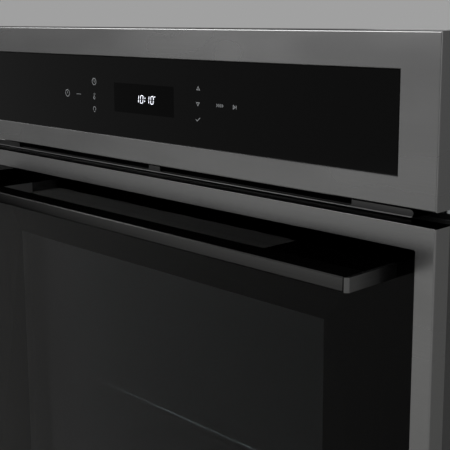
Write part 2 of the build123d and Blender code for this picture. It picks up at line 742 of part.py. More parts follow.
def side_rack(side):
    """Chromed wire rack: two posts with feet on the wall, and two wires at each level."""
    front = CABINET_Y + RACK_FRONT
    rear = BAFFLE_Y - RACK_WALL_GAP
    posts_y = (front + RACK_POST_IN, rear - RACK_POST_IN)
    low = rack_wire_z(0) - RACK_GUIDE
    high = rack_wire_z(RACK_LEVELS - 1) + 2 * RACK_GUIDE
    x = side * RACK_POST_X
    feet_z = (low + 2 * RACK_POST_R, high - 2 * RACK_POST_R)
    pieces = [rod_z(x, y, low, high, RACK_POST_R) for y in posts_y]
    pieces += [rod_x(x, side * CAVITY_W / 2, y, z, RACK_POST_R) for y in posts_y for z in feet_z]
    for level in range(RACK_LEVELS):
        for z in (rack_wire_z(level), rack_wire_z(level) + RACK_GUIDE):
            pieces.append(rod_y(side * RACK_WIRE_X, front, rear, z, RACK_WIRE_R))
    return fuse_all(pieces)


def wire_shelf():
    """Chromed wire shelf whose side rods lie on the racks' support wires."""
    z = rack_wire_z(SHELF_LEVEL) + RACK_WIRE_R + SLIP + SHELF_ROD_R
    first = SHELF_Y + 2 * SHELF_CROSS_R
    last = SHELF_END_Y - 2 * SHELF_CROSS_R
    rods = [rod_y(s * SHELF_X, SHELF_Y, SHELF_END_Y, z, SHELF_ROD_R) for s in SIDES]
    cross_ys = spread(first, last, SHELF_CROSS_RODS)
    rods += [rod_x(-SHELF_X, SHELF_X, y, z, SHELF_CROSS_R) for y in cross_ys]
    steps = round(2 * SHELF_X / SHELF_WIRE_STEP)
    pitch = 2 * SHELF_X / steps
    rods += [rod_y(x, first, last, z, SHELF_WIRE_R) for x in row(0, pitch, steps - 1)]
    return fuse_all(rods)


def baking_tray():
    """Enamelled tray with a flat rim on the racks and a pan hanging between them."""
    low = rack_wire_z(TRAY_LEVEL) + RACK_WIRE_R + SLIP
    t = TRAY_SHEET
    rim_w = 2 * (RACK_POST_X - RACK_POST_R - TRAY_SIDE)
    pan_w = 2 * (RACK_WIRE_X - RACK_WIRE_R - TRAY_SIDE)
    rim_d = SHELF_END_Y - SHELF_Y
    pan_d = rim_d - 2 * TRAY_RIM
    y = (SHELF_Y + SHELF_END_Y) / 2
    rim = Pos(0, y, low) * extrude(RectangleRounded(rim_w, rim_d, TRAY_RIM), amount=t)
    outline = Pos(0, y, low) * RectangleRounded(pan_w, pan_d, TRAY_RIM)
    pan = extrude(outline, amount=-TRAY_DEPTH, taper=TRAY_SLOPE)
    mouth = Pos(0, y, low + t) * RectangleRounded(pan_w - 2 * t, pan_d - 2 * t, TRAY_RIM - t)
    hollow = extrude(mouth, amount=-TRAY_DEPTH, taper=TRAY_SLOPE)
    return rim.fuse(pan).cut(hollow)


# Heaters, fan and lamp in the baking space


def heater_end(z, y0):
    """A heater's two ends through the rear wall, and the small plate that carries them."""
    reach = ELEMENT_R + ELEMENT_MARGIN
    plate = slab(2 * (TAIL_AT + reach), 2 * reach, 0, z, CAVITY_REAR - TERMINAL_PLATE, CAVITY_REAR, ELEMENT_R)
    return [plate] + [rod_y(x, y0, CAVITY_BACK + TAIL_OUT, z, ELEMENT_R) for x in TAILS]


def grill_element():
    """Roof heater: one rod folded to and fro under the ceiling."""
    z = GRILL_Z
    half = CAVITY_W / 2 - GRILL_BESIDE
    y_front = CABINET_Y + GRILL_FRONT
    y_rear = BAFFLE_Y - ELEMENT_BEND
    y_turn = y_rear - 3 * ELEMENT_BEND
    xs = spread(-half, half, GRILL_RUNS)
    points = [(TAILS[0], CAVITY_REAR, z), (TAILS[0], y_rear, z)]
    y = y_rear
    for x in xs:
        points.append((x, y, z))
        y = y_turn if y == y_front else y_front
        if x == xs[-1]:
            y = y_rear
        points.append((x, y, z))
    points += [(TAILS[1], y_rear, z), (TAILS[1], CAVITY_REAR, z)]
    rod = bent_rod(points, ELEMENT_BEND, ELEMENT_R)
    return fuse_all([rod, *heater_end(z, CAVITY_REAR - TERMINAL_PLATE)])


def ring_element():
    """Ring heater round the convection fan, open at the foot where its two ends leave."""
    y = WHEEL_Y - WHEEL_D / 2
    open_half = math.degrees(math.asin(TAIL_AT / RING_R))
    axis = Axis((0, y, CAVITY_MID), (0, 1, 0))
    section = Rot(0, 180 - open_half, 0) * Pos(0, 0, RING_R) * Rot(0, 90, 0) * Circle(ELEMENT_R)
    ring = revolve(Pos(0, y, CAVITY_MID) * section, axis, revolution_arc=2 * open_half - 360)
    return fuse_all([ring, *heater_end(RING_Z, y - ELEMENT_R)])


def bottom_element():
    """Floor heater, close under the cavity's floor and hidden by it."""
    z = CAVITY_FLOOR - LINER_SHEET - SLIP - ELEMENT_R
    half = CAVITY_W / 2 - BOTTOM_BESIDE
    y0 = CABINET_Y + BOTTOM_IN
    y1 = CAVITY_REAR - BOTTOM_IN
    points = []
    for i, x in enumerate(spread(-half, half, BOTTOM_RUNS)):
        ends = (y1, y0) if i % 2 == 0 else (y0, y1)
        points += [(x, ends[0], z), (x, ends[1], z)]
    return bent_rod(points, ELEMENT_BEND, ELEMENT_R)


def rear_baffle():
    """Cover over the fan: air is drawn in at the middle and blown out at the sides."""
    y0 = BAFFLE_Y
    t = BAFFLE_SHEET
    shell = slab(BAFFLE_W, BAFFLE_H, 0, CAVITY_MID, y0, CAVITY_REAR, BAFFLE_CORNER)
    room = slab(
        BAFFLE_W - 2 * t, BAFFLE_H - 2 * t, 0, CAVITY_MID, y0 + t, CAVITY_REAR + CUT, BAFFLE_CORNER - t
    )
    intake = slots_through([0], [CAVITY_MID + INTAKE_R], INTAKE_W, INTAKE_L, y0, y0 + t)[0]
    intakes = [
        round_axis(360 / INTAKES * i, intake, (0, 0, CAVITY_MID), (0, 1, 0)) for i in range(INTAKES)
    ]
    x0 = BAFFLE_W / 2 - t - CUT
    x1 = BAFFLE_W / 2 + CUT
    y0 += OUTLET_IN
    outlets = [
        block(s * x0, s * x1, y0, y0 + OUTLET_D, z - OUTLET_L / 2, z + OUTLET_L / 2)
        for s in SIDES
        for z in row(CAVITY_MID, OUTLET_PITCH, OUTLETS)
    ]
    return cut_all(shell, [room, *intakes, *outlets])


def convection_fan_wheel():
    """Pressed wheel with straight blades standing on a disc."""
    y0 = WHEEL_Y - WHEEL_D
    z = CAVITY_MID
    disc = rod_y(0, WHEEL_Y - WHEEL_DISC, WHEEL_Y, z, WHEEL_R)
    hub = rod_y(0, WHEEL_Y - WHEEL_HUB_D, WHEEL_Y, z, WHEEL_HUB_R)
    half = WHEEL_BLADE_T / 2
    blade = block(-half, half, y0, WHEEL_Y, z + WHEEL_EYE_R, z + WHEEL_R - WHEEL_BLADE_IN)
    blades = [
        round_axis(360 / WHEEL_BLADES * i, blade, (0, 0, z), (0, 1, 0)) for i in range(WHEEL_BLADES)
    ]
    bore = rod_y(0, y0 - CUT, WHEEL_Y + CUT, z, SHAFT_R + RUNNING)
    return fuse_all([disc, hub, *blades]).cut(bore)


def convection_fan_shaft():
    """Motor shaft with its rotor and the nut that holds the wheel."""
    z = CAVITY_MID
    hub_y = WHEEL_Y - WHEEL_HUB_D
    shaft = rod_y(0, hub_y - SHAFT_NOSE, SHAFT_END_Y, z, SHAFT_R)
    nut = hexagon(NUT_R, 0, z, hub_y - NUT_T, hub_y)
    collar = rod_y(0, WHEEL_Y, WHEEL_Y + COLLAR_T, z, SHAFT_R + COLLAR_STEP)
    rotor = rod_y(0, MOTOR_STACK_Y, MOTOR_STACK_Y + MOTOR_STACK, z, MOTOR_ROTOR_R)
    return fuse_all([shaft, nut, collar, rotor])


def fan_motor_stator():
    """Laminated stator with its winding on the lower leg."""
    y0 = MOTOR_STACK_Y
    y1 = MOTOR_STACK_Y + MOTOR_STACK
    top = CAVITY_MID + MOTOR_W / 2
    window_top = CAVITY_MID - MOTOR_ROTOR_R - MOTOR_BRIDGE
    leg_top = window_top - MOTOR_WINDOW_H
    leg_low = leg_top - MOTOR_LEG
    stack = slab(MOTOR_W, top - leg_low, 0, (top + leg_low) / 2, y0, y1, MOTOR_STACK_CORNER)
    bore = rod_y(0, y0 - CUT, y1 + CUT, CAVITY_MID, MOTOR_ROTOR_R + MOTOR_AIR)
    half = MOTOR_W / 2 - MOTOR_LEG_SIDE
    window = block(-half, half, y0 - CUT, y1 + CUT, leg_top, window_top)
    coil = block(-COIL_W / 2, COIL_W / 2, y0 - COIL_T, y1 + COIL_T, leg_low - COIL_T, leg_top + COIL_T)
    return stack.cut(bore, window).fuse(coil)


def fan_motor_bracket():
    """Front and rear bearing plates, and the pillars that hold the motor off the hot cavity."""
    z = CAVITY_MID
    y_end = MOTOR_BACK_Y + BRACKET_T
    ys = (MOTOR_Y, MOTOR_BACK_Y)
    plates = [slab(BRACKET_W, BRACKET_H, 0, z, y, y + BRACKET_T, BRACKET_CORNER) for y in ys]
    posts = [rod_y(s * MOTOR_POST_AT, CAVITY_BACK, y_end, z, MOTOR_POST_R) for s in SIDES]
    bore = rod_y(0, MOTOR_Y - CUT, y_end + CUT, z, SHAFT_R + RUNNING)
    return fuse_all([*plates, *posts]).cut(bore)


def lamp_housing():
    """Steel cup through the cavity's rear wall, with the ring that the lamp glass seats on."""
    y_ring = CAVITY_REAR - LAMP_FLANGE_T
    y_end = CAVITY_REAR + LAMP_CUP_D
    ring = rod_y(LAMP_X, y_ring, CAVITY_REAR, LAMP_Z, LAMP_FLANGE_R)
    cup = rod_y(LAMP_X, CAVITY_REAR, y_end, LAMP_Z, LAMP_CUP_R)
    room = rod_y(LAMP_X, y_ring - CUT, y_end - LAMP_CUP_WALL, LAMP_Z, LAMP_CUP_R - LAMP_CUP_WALL)
    return ring.fuse(cup).cut(room)


def lamp_bulb():
    """Small oven bulb in its socket at the bottom of the cup."""
    foot = CAVITY_REAR + LAMP_CUP_D - LAMP_CUP_WALL
    socket = rod_y(LAMP_X, foot - SOCKET_L, foot, LAMP_Z, SOCKET_R)
    glass = rod_y(LAMP_X, foot - BULB_L, foot - SOCKET_L, LAMP_Z, BULB_R)
    glass = fillet(glass.edges().sort_by(Axis.Y)[0:1], BULB_NOSE)
    return socket.fuse(glass)


def lamp_cover():
    """Round glass cover with a rounded face."""
    y1 = CAVITY_REAR - LAMP_FLANGE_T
    y0 = y1 - LAMP_COVER_D
    t = LAMP_COVER_T
    outer = rod_y(LAMP_X, y0, y1, LAMP_Z, LAMP_COVER_R)
    outer = fillet(outer.edges().sort_by(Axis.Y)[0:1], LAMP_COVER_ROUND)
    inner = rod_y(LAMP_X, y0 + t, y1 + CUT, LAMP_Z, LAMP_COVER_R - t)
    inner = fillet(inner.edges().sort_by(Axis.Y)[0:1], LAMP_COVER_ROUND - t)
    return outer.cut(inner)


def temperature_probe():
    """Sensor rod through the rear wall, with its small flange."""
    rod = rod_y(PROBE_X, CAVITY_REAR - PROBE_L, CAVITY_BACK + TAIL_OUT, PROBE_Z, PROBE_R)
    w, h = PROBE_PLATE
    plate = slab(w, h, PROBE_X, PROBE_Z, CAVITY_REAR - TERMINAL_PLATE, CAVITY_REAR, PROBE_CORNER)
    return rod.fuse(plate)


# Cooling air


def air_duct():
    """Flat channel that leads the cooling air over the cavity to the slit above the door."""
    t = DUCT_SHEET
    y0 = STRIP_Y + STRIP_SHEET + DUCT_AIR
    half = DUCT_W / 2
    outer = block(-half, half, y0, DUCT_REAR, DUCT_Z, DUCT_ROOF)
    inner = block(-half + t, half - t, y0 - CUT, DUCT_REAR + CUT, DUCT_Z + t, DUCT_ROOF - t)
    return outer.cut(inner)


def cooling_fan_housing():
    """Scroll sheet round the cross-flow rotor, and the end plates that stand on the upper plate."""
    half = BLOWER_W / 2
    r = BLOWER_R
    t = BLOWER_SHEET
    y = BLOWER_Y
    z = BLOWER_Z
    scroll = rod_x(-half, half, y, z, r).cut(
        rod_x(-half - CUT, half + CUT, y, z, r - t),
        block(-half - CUT, half + CUT, y - r - CUT, y, z - r - CUT, z + r + CUT),
    )
    floor = block(-half, half, DUCT_REAR, y, z - r, z - r + t)
    tongue = block(-half, half, DUCT_REAR, DUCT_REAR + t, DUCT_ROOF - t, DUCT_ROOF + BLOWER_TONGUE)
    pieces = [scroll, floor, tongue]
    bores = []
    for s in SIDES:
        x0 = s * half
        x1 = s * (half + BLOWER_END)
        disc = rod_x(x0, x1, y, z, r)
        front = block(x0, x1, DUCT_REAR, y, z - r, z)
        foot = block(x0, x1, y - BLOWER_FOOT / 2, y + BLOWER_FOOT / 2, PLATE_TOP, z)
        pieces += [disc, front, foot]
        bores.append(rod_x(x0 - s * CUT, x1 + s * CUT, y, z, ROTOR_SHAFT_R + RUNNING))
    return cut_all(fuse_all(pieces), bores)


def cooling_fan_rotor():
    """Cross-flow rotor: long blades between end discs, on a thin shaft."""
    y = BLOWER_Y
    z = BLOWER_Z
    half = BLOWER_W / 2 - ROTOR_SIDE
    disc_xs = spread(-half + ROTOR_DISC / 2, half - ROTOR_DISC / 2, 3)
    discs = [rod_x(x - ROTOR_DISC / 2, x + ROTOR_DISC / 2, y, z, ROTOR_R) for x in disc_xs]
    z_tip = z + ROTOR_R
    blade = block(-half, half, y - BLADE_T / 2, y + BLADE_T / 2, z_tip - BLADE_DEPTH, z_tip - BLADE_IN)
    blades = [
        round_axis(360 / ROTOR_BLADES * i, blade, (0, y, z), (1, 0, 0)) for i in range(ROTOR_BLADES)
    ]
    end = BLOWER_W / 2 + BLOWER_END
    shaft = rod_x(-end, end + ROTOR_SHAFT_IN, y, z, ROTOR_SHAFT_R)
    return fuse_all([*discs, *blades, shaft])


def cooling_fan_motor():
    """Motor on the right end plate of the fan."""
    x0 = BLOWER_W / 2 + BLOWER_END
    body = rod_x(x0, x0 + BLOWER_MOTOR_L, BLOWER_Y, BLOWER_Z, BLOWER_MOTOR_R)
    body = chamfer(body.edges().sort_by(Axis.X)[-1:], BLOWER_MOTOR_EDGE)
    bore = rod_x(x0 - CUT, x0 + ROTOR_SHAFT_IN + SLIP, BLOWER_Y, BLOWER_Z, ROTOR_SHAFT_R + RUNNING)
    return body.cut(bore)


def vent_strip():
    """Sheet under the control panel: its thin front edge shows as a lip under two long slots."""
    half = STRIP_W / 2
    t = STRIP_SHEET
    floor = block(-half, half, STRIP_Y, CABINET_Y + STRIP_REST, STRIP_Z, STRIP_Z + t)
    corners = [
        block(
            s * (half - STRIP_CORNER), s * (half + CUT), STRIP_Y - CUT, STRIP_Y + STRIP_CORNER,
            STRIP_Z - CUT, STRIP_Z + t + CUT,
        )
        for s in SIDES
    ]
    face = slab(STRIP_W, STRIP_H, 0, STRIP_Z + STRIP_H / 2, STRIP_Y, STRIP_Y + t, STRIP_CORNER)
    slot_w = STRIP_SLOT_END - STRIP_BRIDGE / 2
    slot_x = (STRIP_SLOT_END + STRIP_BRIDGE / 2) / 2
    slot_z = STRIP_Z + t + STRIP_H  # the slots are open at the top, where the panel closes them
    slots = [
        slab(slot_w, 2 * STRIP_H, s * slot_x, slot_z, STRIP_Y - CUT, STRIP_Y + t + CUT, STRIP_CORNER)
        for s in SIDES
    ]
    return cut_all(floor, corners).fuse(cut_all(face, slots))


# Control panel and electronics


def control_panel():
    """Brushed steel fascia folded back on all sides, with the cut-out for the glass."""
    t = PANEL_SHEET
    half = FRONT_W / 2
    y1 = CABINET_Y - PANEL_AIR
    shell = block(-half, half, FRONT_Y, y1, PANEL_Z, TOP_Z)
    front = shell.faces().sort_by(Axis.Y)[0]
    shell = fillet(front.edges(), PANEL_BEND)
    room = block(-half + t, half - t, FRONT_Y + t, y1 + CUT, PANEL_Z + t, TOP_Z - t)
    under = block(-half + t, half - t, FRONT_Y + PANEL_LIP, y1 + CUT, PANEL_Z - CUT, PANEL_Z + t + CUT)
    cut_out = slab(GLASS_W, GLASS_H, 0, GLASS_MID_Z, FRONT_Y - CUT, FRONT_Y + t + CUT)
    shell = shell.cut(room, under, cut_out)
    return chamfer(rim_edges(shell, GLASS_W, GLASS_H, GLASS_MID_Z), PANEL_EDGE)


def control_glass():
    """Black touch glass in the panel's cut-out."""
    y0 = FRONT_Y + GLASS_RECESS
    pane = slab(GLASS_W - 2 * SLIP, GLASS_H - 2 * SLIP, 0, GLASS_MID_Z, y0, CONTROL_BACK)
    front = pane.faces().sort_by(Axis.Y)[0]
    return chamfer(front.edges(), GLASS_EDGE)


def control_housing():
    """Plastic box behind the panel: its rim carries the glass and its back is on the panel carrier."""
    y0 = FRONT_Y + PANEL_SHEET
    w = GLASS_W + 2 * HOUSING_BESIDE
    h = GLASS_H + 2 * HOUSING_OVER
    box = slab(w, h, 0, GLASS_MID_Z, y0, CABINET_Y, HOUSING_CORNER)
    seat = slab(GLASS_W, GLASS_H, 0, GLASS_MID_Z, y0 - CUT, CONTROL_BACK)
    w = GLASS_W - 2 * HOUSING_RIM
    h = GLASS_H - 2 * HOUSING_RIM
    room = slab(w, h, 0, GLASS_MID_Z, CONTROL_BACK - CUT, CABINET_Y - HOUSING_WALL, BOARD_CORNER)
    return box.cut(seat, room)


def touch_board():
    """Touch sensor board against the back of the glass, with a window for the display."""
    y0 = CONTROL_BACK
    y1 = CONTROL_BACK + BOARD_T
    w = GLASS_W - 2 * HOUSING_RIM - 2 * SLIP
    h = GLASS_H - 2 * HOUSING_RIM - 2 * SLIP
    board = slab(w, h, 0, GLASS_MID_Z, y0, y1, BOARD_CORNER)
    w = DISPLAY_W + 2 * SLIP
    h = DISPLAY_H + 2 * SLIP
    return board.cut(slab(w, h, DISPLAY_X, GLASS_MID_Z, y0 - CUT, y1 + CUT))


def display_module():
    """Light block of the clock display behind the glass."""
    y1 = CONTROL_BACK + DISPLAY_D
    return slab(DISPLAY_W, DISPLAY_H, DISPLAY_X, GLASS_MID_Z, CONTROL_BACK, y1, DISPLAY_CORNER)


def panel_carrier():
    """Cross sheet between the side panels that carries the control panel."""
    t = LINER_SHEET
    sheet = block(-CASE_IN, CASE_IN, CABINET_Y, CABINET_Y + t, CARRIER_Z, CASE_TOP)
    half = CASE_IN - UPTURN
    fold = block(-half, half, CABINET_Y, CABINET_Y + UPTURN, CASE_TOP - t, CASE_TOP)
    return sheet.fuse(fold)


def power_board():
    """Relay board on four posts over the air duct."""
    z = DUCT_ROOF + POWER_POST
    top = z + BOARD_T
    x0 = POWER_X - POWER_W / 2
    x1 = POWER_X + POWER_W / 2
    y1 = POWER_Y + POWER_D / 2
    board = block_at(POWER_X, POWER_Y, z, (POWER_W, POWER_D, BOARD_T))
    post_xs = row(POWER_X, POWER_W - 2 * POWER_POST_IN, 2)
    post_ys = row(POWER_Y, POWER_D - 2 * POWER_POST_IN, 2)
    posts = [rod_z(x, y, DUCT_ROOF, top, POWER_POST_R) for x in post_xs for y in post_ys]
    relay_x = x0 + RELAY_IN + RELAY_SIZE[0] / 2
    relays = [block_at(relay_x, y, top, RELAY_SIZE) for y in row(POWER_Y, RELAY_PITCH, RELAYS)]
    transformer_x = x1 - TRANSFORMER_IN - TRANSFORMER_SIZE[0] / 2
    transformer = block_at(transformer_x, POWER_Y, top, TRANSFORMER_SIZE)
    capacitor = rod_z(x1 - CAPACITOR_IN[0], y1 - CAPACITOR_IN[1], z, top + CAPACITOR_H, CAPACITOR_R)
    return fuse_all([board, *posts, *relays, transformer, capacitor])


def terminal_block():
    """Mains terminals on the inside of the rear cover, stepped so that the screws can be reached."""
    w, d, h = TERMINAL_SIZE
    x = TERMINAL_X
    y0 = CASE_REAR - d
    z0 = TERMINAL_Z - h / 2
    body = block(x - w / 2, x + w / 2, y0, CASE_REAR, z0, z0 + h)
    step = block(x - w / 2 - CUT, x + w / 2 + CUT, y0 - CUT, y0 + d / 2, z0 - CUT, TERMINAL_Z)
    hole_y = CASE_REAR - d / 4
    hole_xs = row(x, TERMINAL_PITCH, TERMINAL_HOLES)
    holes = [rod_z(hx, hole_y, z0 - CUT, TERMINAL_Z, TERMINAL_HOLE_R) for hx in hole_xs]
    return cut_all(body, [step, *holes])


def cable_inlet():
    """Nylon inlet for the mains cable in the rear cover: a body, an outer flange and an inner nut."""
    y1 = REAR_Y + INLET_FLANGE_T
    y0 = y1 - INLET_L
    body = rod_y(INLET_X, y0, y1, INLET_Z, INLET_BODY_R)
    flange = rod_y(INLET_X, REAR_Y, y1, INLET_Z, INLET_FLANGE_R)
    nut = hexagon(INLET_FLANGE_R, INLET_X, INLET_Z, CASE_REAR - INLET_NUT_T, CASE_REAR)
    bore = rod_y(INLET_X, y0 - CUT, y1 + CUT, INLET_Z, INLET_BORE_R)
    return fuse_all([body, flange, nut]).cut(bore)


# Lower trim


def lower_trim():
    """Slotted trim under the door, set back so that the opening door clears it."""
    t = CASE_SHEET
    y0 = FRAME_Y - TRIM_T
    z0 = FRONT_CLEAR
    z1 = DOOR_Z - TRIM_UNDER_DOOR
    half = FRONT_W / 2
    face = block(-half, half, y0, y0 + t, z0, z1)
    folds = [block(-half, half, y0, FRAME_Y, z, z + t) for z in (z0, z1 - t)]
    xs = row(0, TRIM_SLOT_PITCH, TRIM_SLOTS)
    slots = slots_through(xs, [(z0 + z1) / 2], SLOT_L, SLOT_W, y0, y0 + t)
    return cut_all(fuse_all([face, *folds]), slots)


# Door


def door_frame():
    """Brushed steel frame of the door: a flat face round the opening for the glass, folded back outside."""
    t = DOOR_SHEET
    y1 = FRONT_Y + RETURN_D
    shell = slab(FRONT_W, DOOR_H, 0, DOOR_MID_Z, FRONT_Y, y1)
    front = shell.faces().sort_by(Axis.Y)[0]
    shell = fillet(front.edges(), PANEL_BEND)
    room = slab(FRONT_W - 2 * t, DOOR_H - 2 * t, 0, DOOR_MID_Z, FRONT_Y + t, y1 + CUT)
    opening = slab(OPENING_W, OPENING_H, 0, DOOR_MID_Z, FRONT_Y - CUT, FRONT_Y + t + CUT, DOOR_CORNER)
    shell = shell.cut(room, opening)
    return chamfer(rim_edges(shell, OPENING_W, OPENING_H, DOOR_MID_Z), FRAME_EDGE)


def handle_screw_places():
    """Where the handle's screws pass the outer pane, two to each arm."""
    middle = ARM_X - ARM_W / 2
    return [(x, BAR_MID_Z) for s in SIDES for x in row(s * middle, HANDLE_SCREW_PITCH, 2)]


def door_outer_glass():
    """Outer pane, set a little behind the frame's face, with holes for the handle screws."""
    w = OPENING_W - 2 * SLIP
    h = OPENING_H - 2 * SLIP
    pane = slab(w, h, 0, DOOR_MID_Z, GLASS_FACE, GLASS_BACK, DOOR_CORNER - SLIP)
    return cut_all(pane, holes_y(handle_screw_places(), GLASS_FACE, GLASS_BACK, HANDLE_SCREW_R + SLIP))


def glass_mask():
    """Black print on the back of the outer pane, open at the window."""
    w = OPENING_W - 2 * SLIP
    h = OPENING_H - 2 * SLIP
    mask = slab(w, h, 0, DOOR_MID_Z, GLASS_BACK, POST_FRONT, DOOR_CORNER - SLIP)
    window = slab(WINDOW_W, WINDOW_H, 0, WINDOW_Z, GLASS_BACK - CUT, POST_FRONT + CUT)
    holes = holes_y(handle_screw_places(), GLASS_BACK, POST_FRONT, HANDLE_SCREW_R + SLIP)
    return cut_all(mask, [window, *holes])


def door_middle_glass():
    """Middle pane, held by the clips on the side posts."""
    return slab(MIDDLE_W, MIDDLE_H, 0, DOOR_MID_Z, MIDDLE_Y, MIDDLE_Y + GLASS, MIDDLE_CORNER)


def door_inner_glass():
    """Inner pane, which closes against the seal."""
    return slab(INNER_W, INNER_H, 0, DOOR_MID_Z, INNER_FACE, DOOR_BACK_Y, INNER_CORNER)


def door_side_posts():
    """Box profiles at the door's sides, cut open at the foot for the hinge claws."""
    posts = []
    w = POST_WALL
    z0 = DOOR_Z + DOOR_SHEET
    z1 = DOOR_TOP_Z - DOOR_SHEET
    for s in SIDES:
        x0 = s * POST_IN
        x1 = s * POST_OUT
        post = block(x0, x1, POST_FRONT, INNER_FACE, z0, z1)
        room = block(x0 + s * w, x1 - s * w, POST_FRONT + w, INNER_FACE - w, z0 - CUT, z1 + CUT)
        x = s * HINGE_X
        slot = block(
            x - POST_SLOT_AIR, x + POST_SLOT_AIR, HINGE_Y, INNER_FACE + CUT,
            z0 - CUT, HINGE_Z + POST_SLOT_H,
        )
        posts.append(post.cut(room, slot))
    return group(posts)


def door_top_trim():
    """Slotted cover between the side posts at the door's top edge."""
    t = TOP_TRIM_WALL
    z1 = DOOR_TOP_Z - DOOR_SHEET
    z0 = z1 - TOP_TRIM_H
    half = POST_IN
    body = block(-half, half, POST_FRONT, INNER_FACE, z0, z1)
    room = block(-half + t, half - t, POST_FRONT + t, INNER_FACE - t, z0 - CUT, z1 - t)
    xs = row(0, TOP_TRIM_PITCH, TOP_TRIM_SLOTS)
    return cut_all(body, [room, *slots_down(xs, [(POST_FRONT + INNER_FACE) / 2], z1 - t, z1)])


def door_bottom_channel():
    """Channel between the side posts that carries the panes at the door's lower edge."""
    t = POST_WALL
    z0 = DOOR_Z + DOOR_SHEET
    z1 = z0 + CHANNEL_H
    body = block(-POST_IN, POST_IN, POST_FRONT, INNER_FACE, z0, z1)
    room = block(-POST_IN - CUT, POST_IN + CUT, POST_FRONT + t, INNER_FACE - t, z0 + t, z1 + CUT)
    return body.cut(room)


def glass_clips():
    """Spring clips on the side posts that hold the middle pane."""
    clips = []
    y0 = MIDDLE_Y
    y1 = MIDDLE_Y + GLASS
    half = CLIP_H / 2
    for s in SIDES:
        x_in = s * (MIDDLE_W / 2 - CLIP_GRIP)
        x_edge = s * (MIDDLE_W / 2 + SLIP)
        for z in row(DOOR_MID_Z, CLIP_PITCH, CLIPS):
            clip = block(x_in, s * POST_IN, y0 - CLIP_WALL, y1 + CLIP_WALL, z - half, z + half)
            groove = block(x_in - s * CUT, x_edge, y0, y1, z - half - CUT, z + half + CUT)
            clips.append(clip.cut(groove))
    return group(clips)


def hinge_bodies():
    """Steel cradles in the side posts that carry the hinge pins and the foot of the springs."""
    bodies = []
    inner = CLAW_T / 2 + CHEEK_AIR
    outer = inner + CHEEK_T
    y0 = POST_FRONT + POST_WALL
    y1 = HINGE_Y + PIN_R + CHEEK_BEHIND
    z0 = CHEEK_Z
    z1 = SPRING_Z
    for s in SIDES:
        x = s * HINGE_X
        web_x0 = s * (POST_IN + POST_WALL)
        web_x1 = s * (POST_OUT - POST_WALL)
        web = block(web_x0, web_x1, y0, y0 + CHEEK_T, z0, z1)
        cheeks = [block(x + k * inner, x + k * outer, y0, y1, z0, z1) for k in SIDES]
        lid = block(x - outer, x + outer, y0, y1, z1 - CHEEK_T, z1)
        hook = rod_z(x, SPRING_Y, z1 - CHEEK_T, z1 + HOOK_L, HOOK_R)
        bore = rod_x(x - PIN_L, x + PIN_L, HINGE_Y, HINGE_Z, PIN_R + RUNNING)
        bodies.append(fuse_all([web, *cheeks, lid, hook]).cut(bore))
    return group(bodies)


def hinge_pins():
    """Pins on which the door turns."""
    half = PIN_L / 2
    return group([rod_x(s * HINGE_X - half, s * HINGE_X + half, HINGE_Y, HINGE_Z, PIN_R) for s in SIDES])


def hinge_springs():
    """Coil springs in the side posts that balance the door's weight."""
    springs = []
    for s in SIDES:
        foot = Pos(s * HINGE_X, SPRING_Y, SPRING_Z + SPRING_WIRE_R)
        coil = foot * Helix(pitch=SPRING_PITCH, height=SPRING_PITCH * SPRING_TURNS, radius=SPRING_R)
        section = Plane(origin=coil @ 0, z_dir=coil % 0) * Circle(SPRING_WIRE_R)
        springs.append(sweep(section, path=coil, is_frenet=True))
    return group(springs)


def hinge_claws():
    """Levers that stay in the chassis: the door turns on their eyes."""
    claws = []
    half = CLAW_H / 2
    y_end = CABINET_Y + RECEIVER_D - RECEIVER_BACK - SLIP
    for s in SIDES:
        x0 = s * HINGE_X - CLAW_T / 2
        x1 = s * HINGE_X + CLAW_T / 2
        eye = rod_x(x0, x1, HINGE_Y, HINGE_Z, CLAW_EYE_R)
        lever = block(x0, x1, HINGE_Y, y_end, HINGE_Z - half, HINGE_Z + half)
        bore = rod_x(x0 - CUT, x1 + CUT, HINGE_Y, HINGE_Z, PIN_R + RUNNING)
        claws.append(eye.fuse(lever).cut(bore))
    return group(claws)


def hinge_receivers():
    """Steel pockets behind the front frame that hold the claws."""
    receivers = []
    y1 = CABINET_Y + RECEIVER_D
    half_t = CLAW_T / 2 + SLIP
    half_h = CLAW_H / 2 + SLIP
    for s in SIDES:
        x = s * HINGE_X
        body = block(
            x - RECEIVER_W / 2, x + RECEIVER_W / 2, CABINET_Y, y1,
            HINGE_Z - RECEIVER_H / 2, HINGE_Z + RECEIVER_H / 2,
        )
        pocket = block(
            x - half_t, x + half_t, CABINET_Y - CUT, y1 - RECEIVER_BACK, HINGE_Z - half_h, HINGE_Z + half_h
        )
        receivers.append(body.cut(pocket))
    return group(receivers)


# Handle


def handle_bar():
    """Flat front bar of the handle."""
    bar = block(-BAR_W / 2, BAR_W / 2, BAR_Y, BAR_Y + BAR_D, BAR_TOP - BAR_H, BAR_TOP)
    front = bar.faces().sort_by(Axis.Y)[0]
    bar = chamfer(front.edges().filter_by(Axis.X), BAR_EDGE)
    back = bar.faces().sort_by(Axis.Y)[-1]
    return chamfer(back.edges().filter_by(Axis.X), JOINT_EDGE)


def handle_arms():
    """Flat wide arms from the bar back to the door glass."""
    y0 = BAR_Y + BAR_D
    arms = [
        block(s * (ARM_X - ARM_W), s * ARM_X, y0, GLASS_FACE, BAR_TOP - BAR_H, BAR_TOP) for s in SIDES
    ]
    holes = holes_y(
        handle_screw_places(), GLASS_FACE - HANDLE_SCREW_DEPTH, GLASS_FACE, HANDLE_SCREW_R + RUNNING
    )
    fronts = [arm.faces().sort_by(Axis.Y)[0].edges().filter_by(Axis.X) for arm in arms]
    arms = [chamfer(edges, JOINT_EDGE) for edges in fronts]
    return group([cut_all(arm, holes) for arm in arms])


